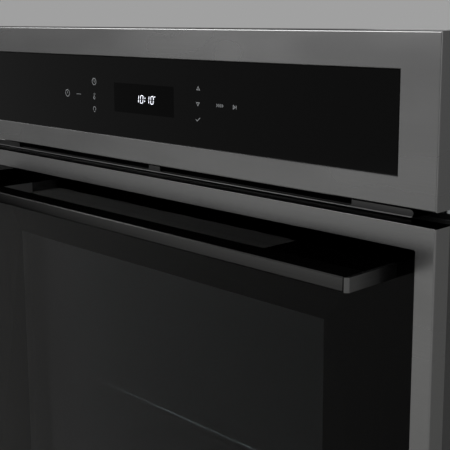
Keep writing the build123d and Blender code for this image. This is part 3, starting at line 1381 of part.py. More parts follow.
def handle_end_caps():
    """Plates that close the handle's ends, each with a bevelled front corner."""
    caps = []
    for s in SIDES:
        x_out = s * (ARM_X + CAP_T)
        cap = block(s * ARM_X, x_out, BAR_Y, GLASS_FACE, BAR_TOP - BAR_H, BAR_TOP)
        corner = [
            e
            for e in cap.edges().filter_by(Axis.Z)
            if abs(e.center().X - x_out) < NEAR and abs(e.center().Y - BAR_Y) < NEAR
        ]
        caps.append(chamfer(corner, CAP_BEVEL))
    return group(caps)


def handle_screws():
    """Screws from inside the door through the glass into the arms."""
    screws = []
    for x, z in handle_screw_places():
        shank = rod_y(x, GLASS_FACE - HANDLE_SCREW_DEPTH, POST_FRONT, z, HANDLE_SCREW_R)
        head = rod_y(x, POST_FRONT, POST_FRONT + HANDLE_SCREW_HEAD_T, z, HANDLE_SCREW_HEAD_R)
        screws.append(shank.fuse(head))
    return group(screws)


PIECES = {
    "base_tray": base_tray(),
    "side_panel_left": side_panel(LEFT),
    "side_panel_right": side_panel(RIGHT),
    "top_cover": top_cover(),
    "rear_cover": rear_cover(),
    "casing_screws": casing_screws(),
    "upper_plate": upper_plate(),
    "front_frame": front_frame(),
    "cavity_liner": cavity_liner(),
    "insulation_blanket": insulation_blanket(),
    "door_gasket": door_gasket(),
    "side_rack_left": side_rack(LEFT),
    "side_rack_right": side_rack(RIGHT),
    "wire_shelf": wire_shelf(),
    "baking_tray": baking_tray(),
    "grill_element": grill_element(),
    "ring_element": ring_element(),
    "bottom_element": bottom_element(),
    "rear_baffle": rear_baffle(),
    "convection_fan_wheel": convection_fan_wheel(),
    "convection_fan_shaft": convection_fan_shaft(),
    "fan_motor_stator": fan_motor_stator(),
    "fan_motor_bracket": fan_motor_bracket(),
    "lamp_housing": lamp_housing(),
    "lamp_bulb": lamp_bulb(),
    "lamp_cover": lamp_cover(),
    "temperature_probe": temperature_probe(),
    "air_duct": air_duct(),
    "cooling_fan_housing": cooling_fan_housing(),
    "cooling_fan_rotor": cooling_fan_rotor(),
    "cooling_fan_motor": cooling_fan_motor(),
    "vent_strip": vent_strip(),
    "control_panel": control_panel(),
    "control_glass": control_glass(),
    "control_housing": control_housing(),
    "touch_board": touch_board(),
    "display_module": display_module(),
    "panel_carrier": panel_carrier(),
    "power_board": power_board(),
    "terminal_block": terminal_block(),
    "cable_inlet": cable_inlet(),
    "lower_trim": lower_trim(),
    "door_frame": door_frame(),
    "door_outer_glass": door_outer_glass(),
    "glass_mask": glass_mask(),
    "door_middle_glass": door_middle_glass(),
    "door_inner_glass": door_inner_glass(),
    "door_side_posts": door_side_posts(),
    "door_top_trim": door_top_trim(),
    "door_bottom_channel": door_bottom_channel(),
    "glass_clips": glass_clips(),
    "hinge_bodies": hinge_bodies(),
    "hinge_pins": hinge_pins(),
    "hinge_springs": hinge_springs(),
    "hinge_claws": hinge_claws(),
    "hinge_receivers": hinge_receivers(),
    "handle_bar": handle_bar(),
    "handle_arms": handle_arms(),
    "handle_end_caps": handle_end_caps(),
    "handle_screws": handle_screws(),
}

os.makedirs("parts", exist_ok=True)
for name, shape in PIECES.items():
    export_step(shape, f"parts/{name}.step")
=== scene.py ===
import json
import math

import bpy
import numpy as np
from mathutils import Matrix, Vector


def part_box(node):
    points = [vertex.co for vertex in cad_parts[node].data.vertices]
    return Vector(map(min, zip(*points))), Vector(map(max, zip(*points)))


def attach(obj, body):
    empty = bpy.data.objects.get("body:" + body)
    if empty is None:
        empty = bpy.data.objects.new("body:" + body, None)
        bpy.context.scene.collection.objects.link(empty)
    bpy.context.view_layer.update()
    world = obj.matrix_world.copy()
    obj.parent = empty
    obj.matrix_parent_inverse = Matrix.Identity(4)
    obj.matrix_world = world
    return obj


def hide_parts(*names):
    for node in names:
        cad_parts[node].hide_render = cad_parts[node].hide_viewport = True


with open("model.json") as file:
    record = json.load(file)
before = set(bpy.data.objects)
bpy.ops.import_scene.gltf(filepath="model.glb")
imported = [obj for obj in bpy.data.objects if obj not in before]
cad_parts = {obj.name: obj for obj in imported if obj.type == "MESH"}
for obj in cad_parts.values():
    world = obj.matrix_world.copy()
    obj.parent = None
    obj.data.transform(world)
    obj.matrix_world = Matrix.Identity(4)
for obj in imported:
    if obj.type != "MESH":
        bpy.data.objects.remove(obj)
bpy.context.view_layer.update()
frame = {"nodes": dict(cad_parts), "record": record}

MM = 0.001


def box_mm(node):
    """The low and the high corner of a node's box, in millimetres."""
    return [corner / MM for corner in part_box(node)]


# Colours and nodes


def linear(colour):
    """An sRGB hex colour as the linear numbers that a shader takes."""
    parts = [int(colour[i : i + 2], 16) / 255 for i in (1, 3, 5)]
    return [p / 12.92 if p <= 0.04045 else ((p + 0.055) / 1.055) ** 2.4 for p in parts] + [1.0]


def add(tree, kind, inputs=None, stops=(), **settings):
    """A node with its settings, its colour stops, and its inputs: each a value, or a socket to link."""
    node = tree.nodes.new("ShaderNode" + kind)
    for name, value in settings.items():
        setattr(node, name, value)
    for i, (place, colour) in enumerate(stops):
        stop = node.color_ramp.elements[i] if i < 2 else node.color_ramp.elements.new(place)
        stop.position, stop.color = place, linear(colour)
    for name, value in (inputs or {}).items():
        if isinstance(value, bpy.types.NodeSocket):
            tree.links.new(value, node.inputs[name])
        else:
            node.inputs[name].default_value = value
    return node


def surface(name, uniform):
    """A material with one Principled shader that holds its uniform values on its own sockets."""
    material = bpy.data.materials.new(name)
    material.use_nodes = True
    tree = material.node_tree
    tree.nodes.clear()
    shader = add(tree, "BsdfPrincipled", uniform)
    add(tree, "OutputMaterial", {"Surface": shader.outputs["BSDF"]})
    return material, tree, shader


def mottle(tree, size_mm, detail=3.0, rough=0.55):
    """An uneven pattern about the middle of 0 to 1, its cells that many millimetres along X, Y and Z."""
    place = add(tree, "TexCoord").outputs["Object"]
    scaled = add(tree, "Mapping", {"Vector": place, "Scale": [1 / (s * MM) for s in size_mm]})
    inputs = {"Vector": scaled.outputs["Vector"], "Scale": 1.0, "Detail": detail, "Roughness": rough}
    return add(tree, "TexNoise", inputs).outputs["Fac"]


def dress(tree, shader, tone=None, gloss=None, relief=None, **sockets):
    """Gives a shader its looks. The tone is a pattern and its colours at places from 0 to 1. The gloss is a
    pattern, and the roughness where it is low and where it is high. The relief is a pattern of heights,
    their depth in millimetres and their strength. Other sockets are linked as they come."""
    if tone:
        pattern, stops = tone
        sockets["Base_Color"] = add(tree, "ValToRGB", {"Fac": pattern}, stops).outputs["Color"]
    if gloss:
        pattern, low, high = gloss
        ends = {"Value": pattern, "From Min": 0.3, "From Max": 0.7, "To Min": low, "To Max": high}
        sockets["Roughness"] = add(tree, "MapRange", ends).outputs["Result"]
    if relief:
        height, depth_mm, strength = relief
        rise = {"Height": height, "Distance": depth_mm * MM, "Strength": strength}
        sockets["Normal"] = add(tree, "Bump", rise).outputs["Normal"]
    for name, value in sockets.items():
        tree.links.new(value, shader.inputs[name.replace("_", " ")])


# Steel

# Ways of the grain, a little off the axes so that no face looks straight along one
ALONG_X, ALONG_Y = (1, 0.02, 0.01), (0.02, 1, 0.01)
FRONT_GRAIN = (90, 1.2, 0.8)  # a scratch's size in millimetres along X, Y and Z
# Places of a Mix node's two colours and of their mix, among its inputs and outputs
FIRST, SECOND, MIXED = 6, 7, 2


def brushed(name, dark, light, roughness, streak, edge, grain_mm=FRONT_GRAIN, along=ALONG_X, zones=()):
    """Stainless steel sheet brushed with a belt. Its long scratches spread a reflection across the grain,
    so the sheet looks even and satin, with thin lines along the grain. The scratches are a tenth of a
    millimetre wide on the real sheet and are drawn about eight times as coarse, so that they show. The
    edge colour is how much it still mirrors at a glancing angle, which is little on a blackened sheet.
    Each zone has its own colour where every axis that it names has passed, in millimetres, from the first
    value to the
    second: painted highlight makes an edge or the top of a face lighter, and painted shade makes a fold, a
    recess, a top or an end black."""
    uniform = {"Metallic": 1.0, "Anisotropic": streak, "Specular Tint": linear(edge)}
    material, tree, shader = surface(name, uniform)
    lines = mottle(tree, grain_mm, 5.0, 0.65)
    cloud = mottle(tree, (140, 140, 60), 2.0)
    place = add(tree, "TexCoord").outputs["Object"]
    split = add(tree, "SeparateXYZ", {"Vector": place})
    tone = add(tree, "ValToRGB", {"Fac": lines}, [(0.3, dark), (0.7, light)]).outputs["Color"]
    for passed, colour in zones:
        inside = 1.0
        for axis, (start, end) in passed.items():
            way = {"Value": split.outputs[axis], "From Min": start * MM, "From Max": end * MM}
            inside = add(tree, "MapRange", {**way, "To Max": inside}).outputs["Result"]
        colours = {0: inside, FIRST: tone, SECOND: linear(colour)}
        tone = add(tree, "Mix", colours, data_type="RGBA").outputs[MIXED]
    facing = add(tree, "NewGeometry").outputs["Normal"]
    across = add(tree, "VectorMath", {0: facing, 1: along}, operation="CROSS_PRODUCT").outputs["Vector"]
    dress(
        tree,
        shader,
        gloss=(cloud, roughness - 0.03, roughness + 0.03),
        relief=(lines, 0.004, 0.5),
        Base_Color=tone,
        Tangent=across,
    )
    return material


def rolled(name, dark, light, roughness, mark_mm=6.0):
    """Bare or plated steel and aluminium as the mill and the press leave them: a soft mirror with cloudy
    stains and fine marks in all directions."""
    material, tree, shader = surface(name, {"Metallic": 1.0})
    cloud = mottle(tree, (mark_mm,) * 3, 4.0)
    dress(
        tree,
        shader,
        tone=(cloud, [(0.3, dark), (0.7, light)]),
        gloss=(cloud, roughness + 0.05, roughness - 0.05),
        relief=(mottle(tree, (1.5,) * 3, 2.0), 0.01, 1.0),
    )
    return material


def spangled(name, crystal_mm):
    """Hot-dip zinc coated sheet: flat crystals, each a slightly other grey."""
    material, tree, shader = surface(name, {"Metallic": 1.0})
    place = add(tree, "TexCoord").outputs["Object"]
    crystals = add(tree, "TexVoronoi", {"Vector": place, "Scale": 1 / (crystal_mm * MM)})
    grey = add(tree, "RGBToBW", {"Color": crystals.outputs["Color"]}).outputs["Val"]
    dress(
        tree,
        shader,
        tone=(grey, [(0.2, "#aeb2b4"), (0.8, "#bbbfc0")]),
        gloss=(grey, 0.46, 0.5),
        relief=(grey, 0.01, 0.3),
    )
    return material


def shaded_mouth(name, start_mm, end_mm):
    """Zinc coated sheet whose mouth is painted matt black as painted shade, so that the slots before it look
    dark.
    Between the two values of Y, in millimetres, the painted shade thins out to bare zinc."""
    material, tree, shader = surface(name, {})
    place = add(tree, "TexCoord").outputs["Object"]
    y = add(tree, "SeparateXYZ", {"Vector": place}).outputs["Y"]
    edges = {"Value": y, "From Min": start_mm * MM, "From Max": end_mm * MM}
    bare = add(tree, "MapRange", edges).outputs["Result"]
    dress(
        tree,
        shader,
        tone=(bare, [(0.0, "#0a0a0a"), (1.0, "#b4b8ba")]),
        gloss=(mottle(tree, (14,) * 3), 0.4, 0.55),
        Metallic=bare,
    )
    return material


def stacked(name):
    """Electrical steel laminations, half a millimetre each and drawn about six millimetres thick so that
    they show: dark lines across the stack."""
    material, tree, shader = surface(name, {"Metallic": 1.0, "Roughness": 0.45})
    place = add(tree, "TexCoord").outputs["Object"]
    bands = {"Vector": place, "Scale": 1 / (20 * MM)}
    sheets = add(tree, "TexWave", bands, wave_type="BANDS", bands_direction="Y").outputs["Fac"]
    dress(tree, shader, tone=(sheets, [(0.1, "#4a4b4e"), (0.6, "#8d8f93")]), relief=(sheets, 0.08, 1.0))
    return material


# Coats, enamel and plastic


def coated(name, dark, light, roughness, skin_mm, depth_mm):
    """Powder coat, paint or textured moulding: one even colour with the orange peel or the grain of its
    skin."""
    material, tree, shader = surface(name, {})
    skin = mottle(tree, (skin_mm,) * 3)
    cloud = mottle(tree, (70,) * 3, 2.0)
    dress(
        tree,
        shader,
        tone=(cloud, [(0.35, dark), (0.65, light)]),
        gloss=(skin, roughness - 0.05, roughness + 0.05),
        relief=(skin, depth_mm, 1.0),
    )
    return material


def enamelled(name):
    """Vitreous enamel fired on steel: dark glass with fine pale specks, glossy and slightly wavy."""
    material, tree, shader = surface(name, {"Coat Weight": 0.5, "Coat Roughness": 0.06})
    place = add(tree, "TexCoord").outputs["Object"]
    specks = add(tree, "TexVoronoi", {"Vector": place, "Scale": 1 / (3.5 * MM)}).outputs["Distance"]
    wave = mottle(tree, (18,) * 3, 2.0)
    dress(
        tree,
        shader,
        tone=(specks, [(0.10, "#8f97a3"), (0.20, "#22252b"), (1.0, "#1c1f25")]),
        gloss=(wave, 0.16, 0.26),
        relief=(wave, 0.12, 1.0),
    )
    return material


def laminate(name):
    """Glass-fibre circuit board under green varnish: copper tracks 3 mm apart show through it."""
    material, tree, shader = surface(name, {"Coat Weight": 0.4, "Coat Roughness": 0.2})
    place = add(tree, "TexCoord").outputs["Object"]
    layout = {
        "Vector": place,
        "Scale": 1.0,
        "Brick Width": 24 * MM,
        "Row Height": 3 * MM,
        "Mortar Size": 0.6 * MM,
        "Color1": linear("#17472c"),
        "Color2": linear("#1a5233"),
        "Mortar": linear("#3c7a49"),
    }
    tracks = add(tree, "TexBrick", layout)
    dress(
        tree,
        shader,
        gloss=(mottle(tree, (8,) * 3), 0.35, 0.5),
        relief=(tracks.outputs["Fac"], 0.04, 1.0),
        Base_Color=tracks.outputs["Color"],
    )
    return material


# Glass


def opaque_glass(name, colour, level):
    """Float glass with a fired black back: a polished face that is black in depth, with faint wiping
    marks in its gloss. Its mirror is weaker than plain glass's, as the photograph shows it."""
    uniform = {"Base Color": linear(colour), "IOR": 1.52, "Specular IOR Level": level}
    material, tree, shader = surface(name, uniform)
    dress(tree, shader, gloss=(mottle(tree, (60, 60, 25), 4.0), 0.03, 0.04))
    return material


def pane(name, light, deep, ior):
    """Float glass, clear or smoked in the melt: light goes through it, tinted a little unevenly, and its
    polished faces mirror. The smoked pane's low IOR stands for a coat that weakens its mirror, as the
    photograph shows it."""
    uniform = {"Transmission Weight": 1.0, "IOR": ior, "Roughness": 0.0}
    material, tree, shader = surface(name, uniform)
    dress(tree, shader, tone=(mottle(tree, (120, 120, 90), 2.0), [(0.3, light), (0.7, deep)]))
    return material


# Soft parts, heaters and print


def felted(name):
    """Mineral wool felt: tangled pale fibres, drawn some millimetres long."""
    material, tree, shader = surface(name, {"Roughness": 0.95, "Sheen Weight": 0.2})
    fibres = mottle(tree, (9, 9, 1.2), 6.0, 0.75)
    dress(tree, shader, tone=(fibres, [(0.3, "#a8976c"), (0.7, "#d8cba4")]), relief=(fibres, 1.2, 1.0))
    return material


def braided(name):
    """Glass-fibre braid soaked in silicone: dull dark grey with paler yarns that catch the light."""
    material, tree, shader = surface(name, {"Roughness": 0.8, "Sheen Weight": 0.3})
    yarns = mottle(tree, (1.2,) * 3, 3.0, 0.7)
    dress(tree, shader, tone=(yarns, [(0.35, "#2a2a2a"), (0.7, "#4c4b48")]), relief=(yarns, 0.15, 1.0))
    return material


def tempered(name, dark, warm, roughness):
    """Steel that heat has coloured: grey with brown and straw patches some centimetres long."""
    material, tree, shader = surface(name, {"Metallic": 0.9})
    heat = mottle(tree, (30,) * 3)
    dress(
        tree,
        shader,
        tone=(heat, [(0.3, dark), (0.75, warm)]),
        gloss=(heat, roughness, roughness + 0.15),
        relief=(mottle(tree, (1,) * 3), 0.02, 1.0),
    )
    return material


def printed(name, colour, glow=0.0):
    """Screen-printed ceramic ink, or a lit diode behind its filter: one flat tone, matt where the ink is
    thick and smoother where it is thin."""
    uniform = {
        "Base Color": linear(colour),
        "Emission Color": linear(colour),
        "Emission Strength": glow,
    }
    material, tree, shader = surface(name, uniform)
    dress(tree, shader, gloss=(mottle(tree, (2,) * 3, 2.0), 0.5, 0.7))
    return material


# Finishes of the solids

BAR_LOW, BAR_HIGH = box_mm("handle_bar")
BAR_END = BAR_HIGH.x - 0.2
VENT = box_mm("vent_strip")[0]
DOOR_LOW, DOOR_HIGH = box_mm("door_frame")
DUCT_MOUTH = box_mm("air_duct")[0].y
# The duct's mouth, seen through the vent slots, is painted shade: black up to the first value of Y, fading
# to bare zinc by the second
SHADE_START, SHADE_END = DUCT_MOUTH + 52, DUCT_MOUTH + 60
# Colours that stand in for light and shade on the steel: black and near-black painted shade, a painted
# highlight on the vent's lip, and a painted sheen on the handle bar's top
PAINTED_SHADE_BLACK, BAR_END_PAINTED_SHADE, LIP_PAINTED_HIGHLIGHT, BAR_TOP_PAINTED_SHEEN = "#060606", "#020202", "#b4b4b4", "#484848"
HANDLE_ZONES = [
    # The handle bar turns lighter towards its top: a painted sheen
    ({"Z": (BAR_LOW.z, BAR_HIGH.z)}, BAR_TOP_PAINTED_SHEEN),
    # The bar's two ends, seen in the gap by the arms, are near-black painted shade
    ({"X": (BAR_END, BAR_END + 0.1)}, BAR_END_PAINTED_SHADE),
    ({"X": (-BAR_END, -BAR_END - 0.1)}, BAR_END_PAINTED_SHADE),
]
# The arms' tops are black painted shade
ARM_ZONES = [({"Z": (BAR_HIGH.z - 0.3, BAR_HIGH.z - 0.2)}, PAINTED_SHADE_BLACK)]
VENT_ZONES = [
    # The vent strip's lower lip is a painted highlight
    ({"Z": (VENT.z + 0.9, VENT.z + 0.7)}, LIP_PAINTED_HIGHLIGHT),
    # Behind its front the vent strip is black painted shade, so that its slots look dark
    ({"Y": (VENT.y + 0.2, VENT.y + 0.5)}, PAINTED_SHADE_BLACK),
]
# The door frame's top fold, behind its front edge, is black painted shade
DOOR_ZONES = [
    ({"Z": (DOOR_HIGH.z - 1.0, DOOR_HIGH.z - 0.9), "Y": (DOOR_LOW.y - 0.2, DOOR_LOW.y + 0.1)}, PAINTED_SHADE_BLACK),
]
BRUSHED = {
    "brushed_front_steel": dict(dark="#7a7a7a", light="#7e7e7e", roughness=0.26, streak=0.5, edge="#808080"),
    # The door frame's steel, its top fold black painted shade
    "door_steel_with_painted_shade_fold": dict(
        dark="#7c7c7c", light="#808080", roughness=0.26, streak=0.5, edge="#808080", zones=DOOR_ZONES
    ),
    "handle_steel": dict(
        dark="#303030", light="#3e3e3e", roughness=0.2, streak=0.3, edge="#242424", zones=HANDLE_ZONES
    ),
    # A lighter copy of the handle steel, painted light so that the arms' sides look lit
    "handle_arm_steel_lit_copy": dict(
        dark="#787878", light="#7e7e7e", roughness=0.42, streak=0.3, edge="#141414", zones=ARM_ZONES
    ),
    "handle_cap_steel": dict(
        dark="#5a5a5a",
        light="#626262",
        grain_mm=(0.8, 60, 0.8),
        along=ALONG_Y,
        roughness=0.3,
        streak=0.3,
        edge="#2a2a2a",
    ),
    "vent_steel": dict(
        dark="#565656", light="#5a5a5a", roughness=0.36, streak=0.3, edge="#404040", zones=VENT_ZONES
    ),
}
COATED = {
    "black_frit": dict(dark="#060606", light="#080808", roughness=0.5, skin_mm=1, depth_mm=0.005),
    "frame_enamel": dict(dark="#121213", light="#161617", roughness=0.35, skin_mm=3, depth_mm=0.03),
    "door_black": dict(dark="#181818", light="#1c1c1c", roughness=0.45, skin_mm=1, depth_mm=0.03),
    "black_plastic": dict(dark="#191919", light="#1d1d1d", roughness=0.5, skin_mm=0.8, depth_mm=0.05),
    "display": dict(dark="#101011", light="#131314", roughness=0.3, skin_mm=1, depth_mm=0.01),
    "motor_housing": dict(dark="#1c1c1c", light="#222222", roughness=0.42, skin_mm=1.5, depth_mm=0.05),
}
ROLLED = {
    "chrome_wire": dict(dark="#c0c0c2", light="#cececf", roughness=0.2, mark_mm=20),
    "steel_part": dict(dark="#8c8c8d", light="#a2a2a3", roughness=0.36),
    "spring_steel": dict(dark="#4c4c50", light="#626266", roughness=0.32),
    "fan_blade": dict(dark="#b4b4b6", light="#cacacc", roughness=0.34),
    "screw_zinc": dict(dark="#a8a8a0", light="#c4c4bc", roughness=0.28, mark_mm=3),
}
FINISH = {name: brushed(name, **look) for name, look in BRUSHED.items()}
FINISH.update((name, coated(name, **look)) for name, look in COATED.items())
FINISH.update((name, rolled(name, **look)) for name, look in ROLLED.items())
FINISH["zinc_sheet"] = spangled("zinc_sheet", crystal_mm=11)
# The air duct's finish, its mouth black painted shade
FINISH["duct_zinc_with_painted_shade_mouth"] = shaded_mouth("duct_zinc_with_painted_shade_mouth", SHADE_START, SHADE_END)
FINISH["motor_steel"] = stacked("motor_steel")
FINISH["heater_sheath"] = tempered("heater_sheath", "#3a3836", "#5c5044", roughness=0.4)
FINISH["black_glass"] = opaque_glass("black_glass", "#050505", level=0.09)
FINISH["door_glass"] = pane("door_glass", "#868688", "#828284", ior=1.17)
FINISH["clear_glass"] = pane("clear_glass", "#e8eeec", "#e2eae8", ior=1.5)
FINISH["enamel"] = enamelled("enamel")
FINISH["board_laminate"] = laminate("board_laminate")
FINISH["mineral_wool"] = felted("mineral_wool")
FINISH["seal"] = braided("seal")
PRINT = printed("pale_ceramic_print", "#7c7e80")
DIGIT_LIGHT = printed("white_clock_light", "#f2f5ff", glow=1.0)
FILTER = opaque_glass("display_filter", "#020202", level=0.05)

# Nodes that look other than their slot's material
OWN_FINISH = {
    # The door frame's top fold is black painted shade
    "door_frame": "door_steel_with_painted_shade_fold",
    # The arms' steel is a lighter copy of the handle steel, painted light
    "handle_arms": "handle_arm_steel_lit_copy",
    # The air duct's mouth is black painted shade
    "air_duct": "duct_zinc_with_painted_shade_mouth",
}
for part in frame["record"]["subparts"]:
    finish = OWN_FINISH.get(part["node"], part["material_slot"])
    for slot in frame["nodes"][part["node"]].material_slots:
        slot.material = FINISH[finish]


# Meshes


def quads(rows, columns, closed):
    """Faces between neighbouring points of a grid whose columns run round, and whose rows may."""
    row, column = np.meshgrid(np.arange(rows if closed else rows - 1), np.arange(columns), indexing="ij")
    here, next_row, beside = row * columns, (row + 1) % rows * columns, (column + 1) % columns
    corners = [here + column, here + beside, next_row + beside, next_row + column]
    return np.stack(corners, -1).reshape(-1, 4)


def tube(points, closed):
    """A surface from its grid of points, rows along the path and columns round the section, with the first
    and the last section filled where the path is open."""
    rows, columns = points.shape[:2]
    faces = quads(rows, columns, closed).tolist()
    if not closed:
        last = (rows - 1) * columns
        faces += [list(range(columns))[::-1], [last + i for i in range(columns)]]
    return points.reshape(-1, 3), faces


def piece(name, surfaces, material, body, smooth=False):
    """One object from several closed surfaces, riding on a body of the frame."""
    starts = np.cumsum([0] + [len(points) for points, _ in surfaces])
    points = np.concatenate([points for points, _ in surfaces])
    faces = [[start + i for i in face] for start, (_, own) in zip(starts, surfaces) for face in own]
    mesh = bpy.data.meshes.new(name)
    mesh.from_pydata(points, [], faces)
    mesh.polygons.foreach_set("use_smooth", [smooth] * len(faces))
    mesh.materials.append(material)
    mesh.update()
    made = bpy.data.objects.new(name, mesh)
    bpy.context.scene.collection.objects.link(made)
    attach(made, body)
    return made


def unit(vectors):
    """The vectors at length one."""
    return vectors / np.linalg.norm(vectors, axis=-1, keepdims=True)


def mitres(path, closed):
    """At each point of a flat path, the way to its left, lengthened so that a line along the path keeps its
    width round the corner: the mean of the two runs' normals over the cosine of half the turn. Past a
    sharp turn the mitre stays at its greatest length."""
    sharpest = 0.4
    ahead = np.roll(path, -1, 0) - path
    if not closed:
        ahead[-1] = ahead[-2]
    behind = np.roll(ahead, 1, 0)
    if not closed:
        behind[0] = ahead[0]
    turn = np.array([[0, 1], [-1, 0]])
    one, other = unit(ahead) @ turn, unit(behind) @ turn
    middle = unit(one + other)
    return middle / np.sum(middle * one, -1, keepdims=True).clip(sharpest)


def stroke(path, width, front, back, closed=False):
    """A flat line in the X-Z plane: the path's points moved left and right by half the width along the
    mitres, each at the front and at the back plane."""
    path = np.array(path, float)
    half = mitres(path, closed) * np.broadcast_to(width, len(path))[:, None] / 2
    left, right = path + half, path - half
    ring = [(left, front), (right, front), (right, back), (left, back)]
    points = [np.stack([p[:, 0], np.full(len(p), y), p[:, 1]], -1) for p, y in ring]
    return tube(np.stack(points, 1), closed)


def arc(radius, first, last, z=0.0, count=28):
    """Points on a circle about that height, from one angle to the other, in degrees from +X towards +Z."""
    angles = np.radians(np.linspace(first, last, count))
    return np.stack([radius * np.cos(angles), z + radius * np.sin(angles)], -1)


# Touch marks on the control glass

PANEL_TOP = box_mm("control_panel")[1].z
GLASS_Y = box_mm("control_glass")[0].y
INK = 0.03  # thickness of the print
LINE = 0.55  # width of its lines
RING = arc(1, 0, 360)[:-1]
# Each mark's middle, as its X and its depth under the panel's top edge, and its lines about that middle:
# each a path in millimetres, and whether it closes
MARKS = {
    "power": (-108.5, 60.4, [(RING * 3.1, True), ([(0, -0.4), (0, 1.5)], False)]),
    "dashes": (-90.7, 60.4, [([(x, 0), (x + 1.5, 0)], False) for x in (-3.1, -0.75, 1.6)]),
    "hour": (-66.3, 47.9, [(RING * 2.9, True), ([(0, 1.7), (0, 0), (1.2, -0.7)], False)]),
    "heat": (
        -66.6,
        60.9,
        [(RING * 1.1 + (0, -1.6), True), ([(0, -0.5), (0, 2.6)], False), ([(1.1, 1.8), (2.0, 1.8)], False)],
    ),
    "lamp": (-66.6, 72.9, [(arc(1.9, -50, 230, 0.5), False), ([(-0.9, -2.0), (0.9, -2.0)], False)]),
    "up": (72.8, 47.0, [([(-1.7, -1.2), (1.7, -1.2), (0, 1.3)], True)]),
    "down": (72.4, 59.6, [([(1.7, 1.2), (-1.7, 1.2), (0, -1.3)], True)]),
    "tick": (72.4, 71.8, [([(-2.6, 0.0), (-0.9, -1.3), (2.6, 1.3)], False)]),
    "chevrons": (97.3, 59.2, [([(x, 1.2), (x + 1.3, 0), (x, -1.2)], False) for x in (-3.4, -1.3, 0.8, 2.9)]),
    "start": (
        114.4,
        59.4,
        [([(-1.7, 1.4), (-1.7, -1.4), (0.6, 0)], True), ([(1.6, 1.4), (1.6, -1.4)], False)],
    ),
}


def touch_marks():
    """The marks as lines of ink on the glass."""
    lines = []
    for x, drop, paths in MARKS.values():
        for path, closed in paths:
            at = (np.array(path, float) + (x, PANEL_TOP - drop)) * MM
            lines.append(stroke(at, LINE * MM, (GLASS_Y - INK) * MM, GLASS_Y * MM, closed))
    piece("touch_marks", lines, PRINT, "oven")


# The clock: seven-segment digits behind a dark filter

DISPLAY_X, DISPLAY_DROP = 3.0, 60.0  # the filter's middle, from the panel's middle and its top edge
DISPLAY_W, DISPLAY_H = 80.0, 25.4
DIGIT_W, DIGIT_H, SEGMENT_W = 3.4, 6.4, 0.62
GAP = 0.2  # from a segment's end to the corner where it points
TIP = 0.2  # width of a segment's ends as a share of its own
DOT = 0.9
SLANT = math.tan(math.radians(6))  # of the digits
# Ends of the segments as shares of the digit's width and height
SEGMENTS = {
    "top": ((0, 1), (1, 1)),
    "upper_right": ((1, 1), (1, 0.5)),
    "lower_right": ((1, 0.5), (1, 0)),
    "foot": ((0, 0), (1, 0)),
    "lower_left": ((0, 0.5), (0, 0)),
    "upper_left": ((0, 1), (0, 0.5)),
}
ONE = ("upper_right", "lower_right")
ZERO = tuple(SEGMENTS)
DIGITS = [(-9.6, ONE), (-3.7, ZERO), (4.2, ONE), (10.1, ZERO)]
# The colon's two dots, and one after the last digit
CLOCK_DOTS = [(2.4, 1.9), (2.8, 4.4), (15.8, 6.2)]


def segment(start, end, x):
    """One lit bar: a stroke with blunt points, narrow at its ends and full between them, slanted."""
    size = np.array([DIGIT_W, DIGIT_H])
    start, end = np.array(start) * size, np.array(end) * size
    way = unit(end - start)
    full = GAP + SEGMENT_W / 2
    path = np.array([start + way * GAP, start + way * full, end - way * full, end - way * GAP])
    path[:, 0] += x + path[:, 1] * SLANT
    return path, np.array([TIP, 1, 1, TIP]) * SEGMENT_W


def on_display(path, width, height):
    """A stroke that far in front of the glass, its path given from the middle of the digits' foot line."""
    at = (np.array(path, float) + (DISPLAY_X, PANEL_TOP - DISPLAY_DROP - DIGIT_H / 2)) * MM
    return stroke(at, np.array(width) * MM, (GLASS_Y - INK - height) * MM, (GLASS_Y - height) * MM)


def clock():
    """The filter as one wide stroke, and the segments and dots as strokes on it."""
    middle = [(-DISPLAY_W / 2, DIGIT_H / 2), (DISPLAY_W / 2, DIGIT_H / 2)]
    piece("display_window", [on_display(middle, DISPLAY_H, 0.0)], FILTER, "oven")
    lit = [on_display(*segment(*SEGMENTS[name], x), INK) for x, names in DIGITS for name in names]
    lit += [on_display([(x - DOT / 2, z), (x + DOT / 2, z)], DOT, INK) for x, z in CLOCK_DOTS]
    piece("clock_digits", lit, DIGIT_LIGHT, "oven")


# Door seal

SEAL_W, SEAL_CORNER = 8.0, 19.0
YARN, YARN_LIFT = 4.0, 0.12  # length of a crossing along the seal, and the yarns' height
STRANDS = 3  # crossings round the bulb, each way
FLATNESS = 0.7  # power of the section's sine: under one it fills out towards a D


def rounded_frame(width, height, radius, step):
    """Points and outward normals evenly along a rectangle with round corners, in the X-Z plane: each
    point's distance along the outline picks its straight run or its corner's angle."""
    runs = np.array([width - 2 * radius, height - 2 * radius] * 2)
    bend = radius * math.pi / 2
    starts = np.concatenate([[0], np.cumsum(runs + bend)])
    far = np.arange(0, starts[-1], starts[-1] / round(starts[-1] / step))
    side = np.searchsorted(starts, far, side="right") - 1
    along = far - starts[side]
    heading = side * math.pi / 2
    angle = heading + np.clip(along - runs[side], 0, None) / radius
    corner = np.array([(1, -1), (1, 1), (-1, 1), (-1, -1)])[side]
    centre = corner * (width / 2 - radius, height / 2 - radius)
    back = np.clip(runs[side] - along, 0, None)[:, None] * np.stack([np.cos(heading), np.sin(heading)], -1)
    normals = np.stack([np.sin(angle), -np.cos(angle)], -1)
    return centre + normals * radius - back, normals, far


